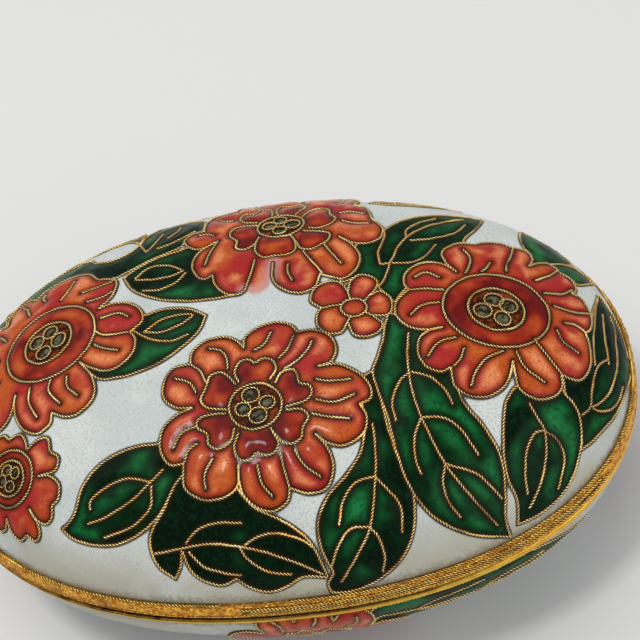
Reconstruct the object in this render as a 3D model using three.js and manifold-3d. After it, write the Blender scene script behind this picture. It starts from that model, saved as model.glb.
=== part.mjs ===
// Oval cloisonne enamel box: an enamelled copper lid and base, each edged with a gilt brass rim.
// Millimetres, +Z up. The origin is the middle of the flat spot that the box stands on.

import * as THREE from 'three';
import { mergeVertices } from 'three/addons/utils/BufferGeometryUtils.js';
import Module from 'manifold-3d';

// Driving dimensions of the body
const HALF_LENGTH = 45;
const HALF_WIDTH = 30.5;
const OVAL_POWER = 2.2;
const LID_RISE = 18;
const LID_POWER = 2.2;
const BASE_DROP = 20;
const BASE_POWER = 2.4;
const FOOT_CUT = 0.6;
const WALL = 1.8;

// Gilt rims at the mouth
const LID_RIM_HEIGHT = 2.4;
const LID_RIM_PROUD = 0.7;
const BASE_RIM_HEIGHT = 1.5;
const BASE_RIM_PROUD = 0.55;
const RIM_CHAMFER = 0.3;
const RIM_INSIDE = 0.4;

// Seating collar that stands up inside the lid
const COLLAR_HEIGHT = 3;
const COLLAR_THICKNESS = 0.8;
const COLLAR_CLEARANCE = 0.35;

// Relief of the flowers and leaves over the ground enamel
const PETAL_HEIGHT = 0.75;
const PETAL_EDGE_HEIGHT = 0.3;
const DISC_HEIGHT = 0.55;
const LEAF_HEIGHT = 0.45;
const LEAF_EDGE_HEIGHT = 0.2;
const RELIEF_ROOT = 0.9;

// Fineness of the faceted surfaces
const OVAL_STEPS = 48;
const DOME_STEPS = 7;
const HOLLOW_STEPS = 4;
const STEPS_PER_LOBE = 4;
const LEAF_STEPS = 5;
const UNROLL_STEPS = 400;

const QUARTER_TURN = Math.PI / 2;
const FULL_TURN = Math.PI * 2;
const SEAM_Z = BASE_DROP - FOOT_CUT;

const wasm = await Module();
wasm.setup();

// Plan and section curves

function signedPower(value, power) {
  return Math.sign(value) * Math.abs(value) ** power;
}

// A point of the oval plan, on semi-axes that are scaled and then grown by the same amount.
function ovalPoint(step, scale, grow) {
  const turn = FULL_TURN * step / OVAL_STEPS;
  const x = (HALF_LENGTH * scale + grow) * signedPower(Math.cos(turn), 2 / OVAL_POWER);
  const y = (HALF_WIDTH * scale + grow) * signedPower(Math.sin(turn), 2 / OVAL_POWER);
  return [x, y];
}

// Reach and height of the section curve at an angle from the crown, both as shares.
function sectionPoint(angle, power) {
  const sine = Math.sin(angle);
  const cosine = Math.cos(angle);
  const length = (sine ** power + cosine ** power) ** (-1 / power);
  return { reach: sine * length, height: cosine * length };
}

// The angle from the crown at which the section curve has come down to a share of its height.
function angleAtHeight(share, power) {
  const reach = (1 - share ** power) ** (1 / power);
  return Math.atan2(reach, share);
}

// The section of a domed shell, from its crown down to its flat edge, as rings of the oval.
// A shell may also be cut flat across its crown, as the foot of the base is.
function shellProfile(rise, power, inset, edge, crownCut, steps) {
  const depth = rise - inset;
  const last = angleAtHeight(edge / depth, power);
  const first = crownCut > 0 ? angleAtHeight(1 - crownCut / depth, power) : 0;
  const rings = [];
  if (first > 0) {
    rings.push({ scale: 0, grow: 0, z: depth - crownCut });
  }
  for (let i = 0; i <= steps; i += 1) {
    const angle = first + (last - first) * i / steps;
    const { reach, height } = sectionPoint(angle, power);
    rings.push({ scale: reach, grow: -inset * reach, z: depth * height });
  }
  return rings;
}

// Solids from triangles

function geometryFrom(positions, indices) {
  const geometry = new THREE.BufferGeometry();
  geometry.setAttribute('position', new THREE.Float32BufferAttribute(positions, 3));
  geometry.setIndex(indices);
  return geometry;
}

// Skins a list of oval rings. A ring of scale and growth zero is one point on the axis.
// With closed set, the last ring joins the first one, as it does in a rim.
function skinRings(rings, closed) {
  const positions = [];
  const indices = [];
  const starts = rings.map((ring) => {
    const start = positions.length / 3;
    const isPole = ring.scale === 0 && ring.grow === 0;
    const count = isPole ? 1 : OVAL_STEPS;
    for (let i = 0; i < count; i += 1) {
      const [x, y] = ovalPoint(i, ring.scale, ring.grow);
      positions.push(isPole ? 0 : x, isPole ? 0 : y, ring.z);
    }
    return { start, count };
  });
  const spans = closed ? rings.length : rings.length - 1;
  for (let k = 0; k < spans; k += 1) {
    const upper = starts[k];
    const lower = starts[(k + 1) % rings.length];
    for (let i = 0; i < OVAL_STEPS; i += 1) {
      const next = (i + 1) % OVAL_STEPS;
      const upperHere = upper.start + i % upper.count;
      const upperNext = upper.start + next % upper.count;
      const lowerHere = lower.start + i % lower.count;
      const lowerNext = lower.start + next % lower.count;
      if (upper.count > 1) {
        indices.push(upperHere, lowerHere, upperNext);
      }
      if (lower.count > 1) {
        indices.push(upperNext, lowerHere, lowerNext);
      }
    }
  }
  return geometryFrom(positions, indices);
}

function solidFrom(geometry) {
  const plain = geometry.clone();
  plain.deleteAttribute('normal');
  plain.deleteAttribute('uv');
  const merged = mergeVertices(plain, 1e-4);
  const solid = new wasm.Manifold(new wasm.Mesh({
    numProp: 3,
    vertProperties: new Float32Array(merged.getAttribute('position').array),
    triVerts: new Uint32Array(merged.getIndex().array),
  }));
  return solid;
}

function geometryOf(solid) {
  const mesh = solid.getMesh();
  return geometryFrom(Array.from(mesh.vertProperties), Array.from(mesh.triVerts));
}

// The ornament is drawn on the dome as if its surface were unrolled flat.
// One table turns the unrolled distance from the crown into the angle of the section.
function unrollTable(rise, power) {
  const meanReach = (HALF_LENGTH + HALF_WIDTH) / 2;
  const lengths = [0];
  let last = sectionPoint(0, power);
  for (let i = 1; i <= UNROLL_STEPS; i += 1) {
    const here = sectionPoint(QUARTER_TURN * i / UNROLL_STEPS, power);
    const along = (here.reach - last.reach) * meanReach;
    const down = (here.height - last.height) * rise;
    lengths.push(lengths[i - 1] + Math.hypot(along, down) / meanReach);
    last = here;
  }
  return lengths;
}

function angleOnTable(lengths, distance) {
  let i = 1;
  while (i < UNROLL_STEPS && lengths[i] < distance) {
    i += 1;
  }
  const share = (distance - lengths[i - 1]) / (lengths[i] - lengths[i - 1]);
  return QUARTER_TURN * (i - 1 + share) / UNROLL_STEPS;
}

// A point of the dome under an unrolled place, raised by lift along the outward normal.
function domePoint(dome, place, lift) {
  const { rise, power, lengths } = dome;
  const alongShare = Math.abs(place.x / HALF_LENGTH) ** OVAL_POWER;
  const acrossShare = Math.abs(place.y / HALF_WIDTH) ** OVAL_POWER;
  const distance = (alongShare + acrossShare) ** (1 / OVAL_POWER);
  if (distance === 0) {
    return new THREE.Vector3(0, 0, rise + lift);
  }
  const { reach, height } = sectionPoint(angleOnTable(lengths, distance), power);
  const point = new THREE.Vector3(place.x, place.y, 0).multiplyScalar(reach / distance);
  point.z = rise * height;
  const spread = reach ** (power - OVAL_POWER);
  const normal = new THREE.Vector3(
    spread * signedPower(point.x / HALF_LENGTH, OVAL_POWER - 1) / HALF_LENGTH,
    spread * signedPower(point.y / HALF_WIDTH, OVAL_POWER - 1) / HALF_WIDTH,
    signedPower(height, power - 1) / rise,
  ).normalize();
  return point.addScaledVector(normal, lift);
}

// A raised plate on the dome: loops of unrolled places with a height each, innermost first,
// closed over a middle place and rooted in the wall under its outer loop.
function plateSolid(dome, middle, loops) {
  const positions = [];
  const indices = [];
  const count = loops[0].length;
  const roots = [...loops].reverse().map((loop) => loop.map((stop) => ({ ...stop, lift: -RELIEF_ROOT })));
  const skins = [...loops, ...roots];
  const addStop = (stop) => {
    const point = domePoint(dome, stop, stop.lift);
    positions.push(point.x, point.y, point.z);
  };
  addStop(middle);
  skins.flat().forEach(addStop);
  addStop({ ...middle, lift: -RELIEF_ROOT });
  const bottom = positions.length / 3 - 1;
  for (let i = 0; i < count; i += 1) {
    const next = (i + 1) % count;
    indices.push(0, 1 + i, 1 + next);
    for (let k = 1; k < skins.length; k += 1) {
      const inner = 1 + (k - 1) * count;
      const outer = 1 + k * count;
      indices.push(inner + i, outer + i, inner + next, inner + next, outer + i, outer + next);
    }
    const lastLoop = 1 + (skins.length - 1) * count;
    indices.push(lastLoop + i, bottom, lastLoop + next);
  }
  return solidFrom(geometryFrom(positions, indices));
}

// Flowers: places and reaches are shares of the half length and half width of the oval.
function flowerSolid(dome, flower) {
  const count = flower.lobes * STEPS_PER_LOBE;
  const centre = { x: flower.along * HALF_LENGTH, y: flower.across * HALF_WIDTH };
  const reach = flower.reach * HALF_WIDTH;
  const loopAt = (share, lift, crownLift) => Array.from({ length: count }, (_, i) => {
    const withinLobe = (i % STEPS_PER_LOBE) / STEPS_PER_LOBE;
    const bulge = Math.sin(Math.PI * withinLobe);
    const roundness = Math.sqrt(bulge);
    const radius = share * reach * (flower.notch + (1 - flower.notch) * roundness);
    const turn = THREE.MathUtils.degToRad(flower.start) + FULL_TURN * i / count;
    return {
      x: centre.x + radius * Math.cos(turn),
      y: centre.y + radius * Math.sin(turn),
      lift: lift + (crownLift - lift) * bulge,
    };
  });
  const discLoop = Array.from({ length: count }, (_, i) => {
    const turn = THREE.MathUtils.degToRad(flower.start) + FULL_TURN * i / count;
    return {
      x: centre.x + flower.disc * reach * Math.cos(turn),
      y: centre.y + flower.disc * reach * Math.sin(turn),
      lift: PETAL_EDGE_HEIGHT,
    };
  });
  const loops = [
    discLoop,
    loopAt(0.8, PETAL_EDGE_HEIGHT, PETAL_HEIGHT),
    loopAt(1, PETAL_EDGE_HEIGHT, PETAL_EDGE_HEIGHT),
  ];
  return plateSolid(dome, { ...centre, lift: DISC_HEIGHT }, loops);
}

// Leaves: a midrib from stalk to tip that bows to one side, with a rounded blade about it.
function leafSolid(dome, leaf) {
  const stalk = new THREE.Vector2(leaf.from[0] * HALF_LENGTH, leaf.from[1] * HALF_WIDTH);
  const tip = new THREE.Vector2(leaf.to[0] * HALF_LENGTH, leaf.to[1] * HALF_WIDTH);
  const middle = stalk.clone().lerp(tip, 0.5);
  const along = tip.clone().sub(stalk);
  const side = new THREE.Vector2(-along.y, along.x).normalize();
  const length = along.length();
  const halfWidth = leaf.width * HALF_WIDTH / 2;
  const rowAt = (share, lift, sign) => {
    const bow = leaf.bow * length * Math.sin(Math.PI * share);
    const blade = sign * halfWidth * Math.sin(Math.PI * share) ** 0.7;
    const place = stalk.clone().lerp(tip, share).addScaledVector(side, bow + blade);
    return { x: place.x, y: place.y, lift };
  };
  const outer = [];
  for (let i = 0; i < LEAF_STEPS; i += 1) {
    outer.push(rowAt(i / LEAF_STEPS, LEAF_EDGE_HEIGHT, -1));
  }
  for (let i = LEAF_STEPS; i > 0; i -= 1) {
    outer.push(rowAt(i / LEAF_STEPS, LEAF_EDGE_HEIGHT, 1));
  }
  const bowMiddle = middle.clone().addScaledVector(side, leaf.bow * length);
  const inner = outer.map((stop) => ({
    x: bowMiddle.x + (stop.x - bowMiddle.x) * 0.6,
    y: bowMiddle.y + (stop.y - bowMiddle.y) * 0.6,
    lift: LEAF_HEIGHT,
  }));
  return plateSolid(dome, { x: bowMiddle.x, y: bowMiddle.y, lift: LEAF_HEIGHT }, [inner, outer]);
}

const LID_FLOWERS = [
  { along: -0.013, across: -0.4, reach: 0.41, lobes: 10, start: 15, notch: 0.72, disc: 0.52 },
  { along: 0.66, across: 0.02, reach: 0.42, lobes: 10, start: 25, notch: 0.74, disc: 0.52 },
  { along: 0.05, across: 0.6, reach: 0.42, lobes: 10, start: 0, notch: 0.72, disc: 0.52 },
  { along: -0.636, across: 0.11, reach: 0.42, lobes: 10, start: 5, notch: 0.74, disc: 0.52 },
  { along: -0.755, across: -0.49, reach: 0.27, lobes: 6, start: 40, notch: 0.68, disc: 0.45 },
  { along: 0.265, across: 0.04, reach: 0.17, lobes: 5, start: 15, notch: 0.66, disc: 0.42 },
];

const LID_LEAVES = [
  { from: [-0.24, -0.62], to: [-0.6, -0.74], width: 0.34, bow: -0.02 },
  { from: [-0.3, -0.84], to: [0.14, -1.05], width: 0.26, bow: -0.06 },
  { from: [0.28, -0.55], to: [0.16, -1.1], width: 0.36, bow: 0.2 },
  { from: [0.38, -0.2], to: [0.7, -0.93], width: 0.36, bow: -0.14 },
  { from: [0.76, -0.38], to: [0.71, -0.87], width: 0.36, bow: 0.12 },
  { from: [0.91, -0.54], to: [1.0, 0.24], width: 0.2, bow: -0.1 },
  { from: [0.35, 0.24], to: [0.65, 0.68], width: 0.28, bow: 0.1 },
  { from: [-0.18, 0.38], to: [-0.42, 0.39], width: 0.3, bow: 0.05 },
  { from: [-0.42, -0.12], to: [-0.16, 0.07], width: 0.24, bow: -0.1 },
  { from: [-0.24, 0.62], to: [-0.68, 0.62], width: 0.22, bow: -0.1 },
  { from: [-0.96, -0.3], to: [-1.02, 0.3], width: 0.2, bow: -0.06 },
  { from: [0.78, 0.5], to: [0.86, 0.68], width: 0.14, bow: 0 },
];

// The base is drawn as it lies face down, so the front of the standing box has positive across.
const BASE_FLOWERS = [
  { along: 0.09, across: 0.82, reach: 0.38, lobes: 10, start: 8, notch: 0.74, disc: 0.52 },
  { along: 0.95, across: -0.12, reach: 0.36, lobes: 10, start: 20, notch: 0.74, disc: 0.52 },
  { along: -0.09, across: -0.82, reach: 0.38, lobes: 10, start: 8, notch: 0.74, disc: 0.52 },
  { along: -0.95, across: 0.12, reach: 0.36, lobes: 10, start: 20, notch: 0.74, disc: 0.52 },
];

const BASE_LEAVES = [
  { from: [0.38, 0.78], to: [0.84, 0.66], width: 0.28, bow: 0.12 },
  { from: [-0.24, 0.88], to: [-0.7, 0.78], width: 0.26, bow: -0.08 },
  { from: [-0.38, -0.78], to: [-0.84, -0.66], width: 0.28, bow: 0.12 },
  { from: [0.24, -0.88], to: [0.7, -0.78], width: 0.26, bow: -0.08 },
];

// A domed shell that stands on its open edge, with its ornament joined on.
// The base is the same kind of shell upside down.
function shellSolid({ rise, power, edge, crownCut, flowers, leaves }) {
  const dome = { rise, power, lengths: unrollTable(rise, power) };
  const outside = shellProfile(rise, power, 0, edge, crownCut, DOME_STEPS);
  const hollow = shellProfile(rise, power, WALL, edge, 0, HOLLOW_STEPS);
  const plain = solidFrom(skinRings([...outside, ...hollow.reverse()], false));
  const plates = [
    ...leaves.map((leaf) => leafSolid(dome, leaf)),
    ...flowers.map((flower) => flowerSolid(dome, flower)),
  ];
  return plates.reduce((shell, plate) => shell.add(plate), plain);
}

// The section of a plain rim, down its outside and up its inside.
function rimRing(proud, lower, upper) {
  const inside = -WALL - RIM_INSIDE;
  return [
    { scale: 1, grow: proud - RIM_CHAMFER, z: upper },
    { scale: 1, grow: proud, z: upper - RIM_CHAMFER },
    { scale: 1, grow: proud, z: lower + RIM_CHAMFER },
    { scale: 1, grow: proud - RIM_CHAMFER, z: lower },
    { scale: 1, grow: inside, z: lower },
    { scale: 1, grow: inside, z: upper },
  ];
}

const group = new THREE.Group();
group.name = 'cloisonne_box';

function addPiece(name, geometry, z, material) {
  const mesh = new THREE.Mesh(geometry, material);
  mesh.name = name;
  mesh.position.z = z;
  group.add(mesh);
}

const enamel = new THREE.MeshStandardMaterial({ color: 0xd8dcdc, roughness: 0.2, metalness: 0 });
const gilt = new THREE.MeshStandardMaterial({ color: 0xb48a3c, roughness: 0.35, metalness: 1 });

const lidGeometry = geometryOf(shellSolid({
  rise: LID_RISE,
  power: LID_POWER,
  edge: LID_RIM_HEIGHT,
  crownCut: 0,
  flowers: LID_FLOWERS,
  leaves: LID_LEAVES,
}));
addPiece('lid', lidGeometry, SEAM_Z, enamel);

// A half turn about the long axis stands the base on its foot, with left and right kept.
const baseGeometry = geometryOf(shellSolid({
  rise: BASE_DROP,
  power: BASE_POWER,
  edge: BASE_RIM_HEIGHT,
  crownCut: FOOT_CUT,
  flowers: BASE_FLOWERS,
  leaves: BASE_LEAVES,
})).rotateX(Math.PI);
addPiece('base', baseGeometry, SEAM_Z, enamel);

const lidRim = skinRings(rimRing(LID_RIM_PROUD, 0, LID_RIM_HEIGHT), true);
addPiece('lid_rim', lidRim, SEAM_Z, gilt);

// The base rim and its collar are one brass strip: a band under the seam and a wall above it.
const collarOutside = -WALL - RIM_INSIDE - COLLAR_CLEARANCE;
const collarInside = collarOutside - COLLAR_THICKNESS;
const baseRim = skinRings([
  { scale: 1, grow: BASE_RIM_PROUD - RIM_CHAMFER, z: 0 },
  { scale: 1, grow: BASE_RIM_PROUD, z: -RIM_CHAMFER },
  { scale: 1, grow: BASE_RIM_PROUD, z: -BASE_RIM_HEIGHT + RIM_CHAMFER },
  { scale: 1, grow: BASE_RIM_PROUD - RIM_CHAMFER, z: -BASE_RIM_HEIGHT },
  { scale: 1, grow: collarInside, z: -BASE_RIM_HEIGHT },
  { scale: 1, grow: collarInside, z: COLLAR_HEIGHT },
  { scale: 1, grow: collarOutside, z: COLLAR_HEIGHT },
  { scale: 1, grow: collarOutside, z: 0 },
], true);
addPiece('base_rim', baseRim, SEAM_Z, gilt);

export default group;
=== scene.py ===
import math
import random

import bpy
import numpy as np
from mathutils import Matrix, Vector
from mathutils.kdtree import KDTree


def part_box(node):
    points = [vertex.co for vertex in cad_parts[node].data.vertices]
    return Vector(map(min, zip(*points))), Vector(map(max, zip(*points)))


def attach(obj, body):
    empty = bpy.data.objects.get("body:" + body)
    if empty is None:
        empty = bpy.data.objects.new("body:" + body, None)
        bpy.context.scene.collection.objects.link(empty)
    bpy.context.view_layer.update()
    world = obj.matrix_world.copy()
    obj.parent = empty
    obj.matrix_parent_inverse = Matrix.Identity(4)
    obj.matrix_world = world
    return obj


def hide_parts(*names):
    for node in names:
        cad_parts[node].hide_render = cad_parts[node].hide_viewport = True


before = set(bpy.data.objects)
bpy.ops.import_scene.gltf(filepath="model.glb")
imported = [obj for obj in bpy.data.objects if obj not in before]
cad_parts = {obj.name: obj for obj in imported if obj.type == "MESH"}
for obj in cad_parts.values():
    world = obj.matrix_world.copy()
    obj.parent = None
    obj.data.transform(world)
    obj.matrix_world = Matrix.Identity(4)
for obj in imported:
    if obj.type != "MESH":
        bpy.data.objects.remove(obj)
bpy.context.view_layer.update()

# Design of the lid
# Twisted gilt wires are bent to the outlines of flowers and leaves and fused to the copper shell.
# Every place below is in millimetres on the dome as if its skin were unrolled flat:
# right along the box, and away from the viewer across it, from the crown.

MM = 0.001
RIM_PROUD = 0.7
rim_low, rim_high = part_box("lid_rim")
SEAM_Z = rim_low.z / MM
HALF_LENGTH = rim_high.x / MM - RIM_PROUD
HALF_WIDTH = rim_high.y / MM - RIM_PROUD
LID_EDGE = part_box("lid")[0].z / MM - SEAM_Z
OVAL_POWER = 2.2
LID_DOME = {"rise": 18.0, "power": 2.2, "side": 1}
WALL = 1.8
TABLE_STEPS = 600
RING_STEPS = 90
TINY = 1e-9


def section(angle, power):
    """Reach and height of the dome's section at an angle from the crown, as shares."""
    sine, cosine = np.sin(angle), np.abs(np.cos(angle))
    length = (sine**power + cosine**power) ** (-1 / power)
    return sine * length, cosine * length


def add_unrolled_lengths(dome):
    """Gives a dome the table that turns unrolled distance into the angle of its section."""
    angles = np.linspace(0, math.pi / 2, TABLE_STEPS)
    reach, height = section(angles, dome["power"])
    mean = (HALF_LENGTH + HALF_WIDTH) / 2
    steps = np.hypot(np.diff(reach) * mean, np.diff(height) * dome["rise"]) / mean
    dome["angles"], dome["lengths"] = angles, np.concatenate([[0], np.cumsum(steps)])


def edge_share(dome, edge):
    """The unrolled share at which a dome has come down to a height above the seam."""
    height = edge / dome["rise"]
    reach = (1 - height ** dome["power"]) ** (1 / dome["power"])
    return float(np.interp(math.atan2(reach, height), dome["angles"], dome["lengths"]))


def on_dome(dome, places, lift):
    """Unrolled places, raised by lift along the outward normal, as metres in the box's frame."""
    places = np.asarray(places, float)
    along, across = places[:, 0] / HALF_LENGTH, places[:, 1] / HALF_WIDTH
    share = (np.abs(along) ** OVAL_POWER + np.abs(across) ** OVAL_POWER) ** (1 / OVAL_POWER)
    share = np.maximum(share, TINY)
    reach, height = section(np.interp(share, dome["lengths"], dome["angles"]), dome["power"])
    x, y = along * reach / share, across * reach / share
    spread = np.maximum(reach, TINY) ** (dome["power"] - OVAL_POWER)
    normal = np.stack([
        spread * np.sign(x) * np.abs(x) ** (OVAL_POWER - 1) / HALF_LENGTH,
        spread * np.sign(y) * np.abs(y) ** (OVAL_POWER - 1) / HALF_WIDTH,
        height ** (dome["power"] - 1) / dome["rise"] * dome["side"],
    ], axis=1)
    normal /= np.linalg.norm(normal, axis=1)[:, None]
    z = SEAM_Z + dome["side"] * dome["rise"] * height
    points = np.stack([x * HALF_LENGTH, y * HALF_WIDTH, z], axis=1)
    return (points + normal * np.asarray(lift)[..., None]) * MM


def bent(points, step=0.12):
    """A wire bent smoothly through its points, as many short steps."""
    p = np.array(points, float)
    p = np.vstack([2 * p[0] - p[1], p, 2 * p[-1] - p[-2]])
    run = []
    for a, b, c, d in zip(p[:-3], p[1:-2], p[2:-1], p[3:]):
        count = max(2, int(np.linalg.norm(c - b) / step))
        t = np.linspace(0, 1, count, endpoint=False)[:, None]
        run.append(0.5 * (2 * b + (c - a) * t + (2 * a - 5 * b + 4 * c - d) * t**2
                          + (3 * b - a - 3 * c + d) * t**3))
    run.append(p[-2:-1])
    return np.vstack(run)


def joined(sides):
    """One closed outline from sides that each end where the next one starts, with a corner there."""
    ends = sides[1:] + sides[:1]
    return np.vstack([bent(side + [following[0]])[:-1] for side, following in zip(sides, ends)])


def oval_ring(centre, half_along, half_across):
    """A ring of wire about a flower's middle."""
    turn = np.linspace(0, 2 * math.pi, RING_STEPS, endpoint=False)
    return np.stack([centre[0] + half_along * np.cos(turn), centre[1] + half_across * np.sin(turn)], 1)


# A lobe starts at its notch, where the last one ended.
FRONT_FLOWER = {
    "middle": (-0.4, -12.3), "boss": (3.2, 2.9),
    "lobes": [
        [(-1.7, -4.3), (-1.6, -2.7), (-0.1, -1.4), (2.2, -0.9), (4.1, -1.6)],
        [(4.8, -2.7), (6.8, -2.6), (8.8, -3.7), (9.5, -5.5), (8.9, -7.3)],
        [(7.2, -7.9), (9.7, -7.8), (12.1, -9.2), (13.4, -11.0), (13.3, -12.5)],
        [(12.0, -13.2), (12.8, -14.8), (12.2, -16.8), (10.0, -18.0), (8.1, -17.6)],
        [(6.6, -16.4), (8.0, -18.2), (8.5, -20.5), (7.6, -22.6), (5.5, -23.1)],
        [(3.2, -22.3), (2.8, -23.7), (1.1, -24.6), (-1.1, -24.0), (-2.6, -22.2)],
        [(-2.8, -19.2), (-3.0, -21.4), (-4.7, -22.6), (-7.4, -22.6), (-9.5, -21.0)],
        [(-9.4, -18.3), (-11.1, -18.2), (-12.2, -16.4), (-12.0, -14.2), (-10.5, -12.5)],
        [(-8.1, -11.6), (-10.1, -11.3), (-11.7, -9.7), (-11.6, -7.4), (-10.4, -5.8)],
        [(-8.4, -5.6), (-8.1, -3.7), (-6.4, -2.4), (-4.0, -2.3), (-2.4, -3.3)],
    ],
    "hearts": [
        [(-2.3, -9.0), (-2.9, -7.6), (-2.2, -6.2), (-1.1, -6.0), (-0.4, -6.6), (0.6, -6.1), (1.7, -6.4),
         (2.2, -7.7), (1.4, -9.1)],
        [(2.1, -9.6), (2.8, -8.3), (4.1, -8.0), (4.7, -8.7), (5.0, -9.9), (6.1, -10.3), (6.4, -11.4),
         (5.5, -12.3), (3.2, -12.8)],
        [(3.2, -13.2), (5.1, -13.3), (5.9, -14.3), (5.2, -15.5), (4.9, -16.8), (3.7, -17.4), (2.4, -16.8),
         (1.3, -15.2)],
        [(1.5, -15.6), (2.2, -17.1), (1.6, -18.2), (0.4, -18.4), (-0.5, -18.0), (-1.4, -18.8),
         (-2.8, -18.4), (-3.1, -17.0), (-2.5, -15.4)],
        [(-3.0, -14.8), (-3.5, -16.3), (-5.0, -17.1), (-6.2, -16.5), (-6.4, -15.1), (-7.5, -14.3),
         (-7.3, -13.2), (-5.6, -12.8), (-4.0, -12.9)],
        [(-3.9, -12.4), (-6.1, -11.9), (-7.1, -10.8), (-6.6, -9.6), (-6.2, -8.7), (-5.9, -7.7),
         (-4.7, -7.3), (-3.6, -8.1), (-2.7, -9.3)],
    ],
    "veins": [
        [(-0.5, -4.8), (0.8, -4.0), (1.6, -2.3)], [(4.4, -3.2), (3.6, -5.1), (2.5, -6.3)],
        [(6.6, -4.2), (6.2, -5.2), (4.8, -6.8), (3.1, -7.9)], [(6.9, -9.6), (8.7, -10.0), (11.1, -9.9)],
        [(6.8, -12.2), (9.0, -12.7), (11.5, -11.9)], [(6.2, -13.9), (8.3, -14.5), (10.8, -14.9)],
        [(4.0, -18.0), (5.1, -19.9), (7.0, -21.4)], [(2.3, -18.2), (2.7, -20.2), (3.2, -22.3)],
        [(-0.5, -19.4), (-0.1, -21.5), (1.1, -23.1)], [(-5.8, -18.1), (-6.9, -19.8), (-6.9, -21.5)],
        [(-9.4, -18.3), (-8.7, -16.8), (-7.6, -16.1)], [(-7.5, -14.0), (-9.5, -14.6), (-10.6, -16.4)],
        [(-10.4, -7.3), (-8.6, -8.1), (-7.6, -9.7)], [(-8.4, -5.6), (-7.2, -6.7), (-6.3, -8.6)],
        [(-6.2, -3.7), (-4.7, -4.2), (-3.9, -5.4), (-3.7, -7.0)],
    ],
}

RIGHT_FLOWER = {
    "middle": (29.4, 0.2), "boss": (3.6, 3.3), "disc_middle": (29.5, 0.2), "disc": (6.8, 5.8),
    "lobes": [
        [(24.8, 6.1), (23.5, 7.9), (23.2, 9.9), (24.7, 11.5), (26.2, 11.9)],
        [(27.4, 11.9), (29.0, 12.5), (30.8, 12.8), (32.0, 12.5)],
        [(32.9, 12.1), (34.3, 12.2), (35.1, 11.3), (35.2, 10.0)],
        [(34.5, 8.6), (35.7, 9.5), (37.2, 10.1), (38.4, 9.7)],
        [(38.9, 8.9), (40.3, 8.2), (41.1, 6.9), (40.8, 5.7)],
        [(40.0, 5.1), (41.6, 4.7), (42.5, 3.1), (42.7, 1.0), (42.1, -0.6)],
        [(41.3, -1.2), (41.7, -3.2), (41.6, -5.8), (40.7, -7.8), (39.2, -8.9)],
        [(37.0, -8.5), (37.0, -10.3), (35.7, -11.7), (33.4, -12.2), (31.5, -11.2), (31.0, -9.6)],
        [(30.8, -7.4), (30.3, -9.4), (29.3, -11.2), (27.3, -12.4), (25.2, -12.4), (23.6, -11.4),
         (23.2, -10.0)],
        [(23.2, -8.7), (21.8, -9.3), (20.0, -8.4), (19.3, -6.4), (19.7, -4.5), (21.0, -3.4)],
        [(22.5, -3.0), (20.3, -3.4), (18.1, -2.7), (16.9, -1.0), (17.0, 0.8), (17.8, 2.1)],
        [(18.7, 2.9), (18.1, 4.0), (18.4, 5.8), (19.9, 7.3), (21.9, 7.8), (23.6, 7.2)],
    ],
    "hearts": [],
    "veins": [
        [(25.9, 10.6), (26.7, 9.1), (26.5, 7.4), (25.9, 5.9)], [(29.3, 8.3), (28.6, 7.0), (27.9, 6.4)],
        [(32.7, 11.9), (32.2, 10.0), (31.5, 8.4), (31.2, 6.8)], [(38.7, 9.1), (37.2, 7.5), (35.0, 5.9)],
        [(40.3, 5.8), (38.4, 4.3), (35.9, 3.9)], [(37.0, 2.0), (39.6, 1.6), (42.2, 2.2)],
        [(38.2, -0.6), (39.8, -0.5), (41.3, -1.2)], [(37.0, -1.9), (37.8, -3.7), (39.8, -4.9)],
        [(33.8, -3.9), (35.2, -6.0), (37.0, -8.4)], [(31.3, -6.0), (32.3, -8.2), (34.7, -9.9)],
        [(29.7, -6.1), (27.4, -7.5), (26.0, -9.4), (25.4, -11.2)],
        [(24.9, -6.0), (24.4, -7.4), (23.5, -8.6)], [(24.0, -4.5), (21.9, -5.2), (20.4, -7.3)],
        [(22.4, 0.9), (20.2, 0.4), (18.6, -1.1)], [(18.7, 2.9), (20.8, 3.1), (23.0, 2.9)],
        [(19.4, 5.0), (20.8, 5.9), (22.6, 5.0)],
    ],
}

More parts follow.
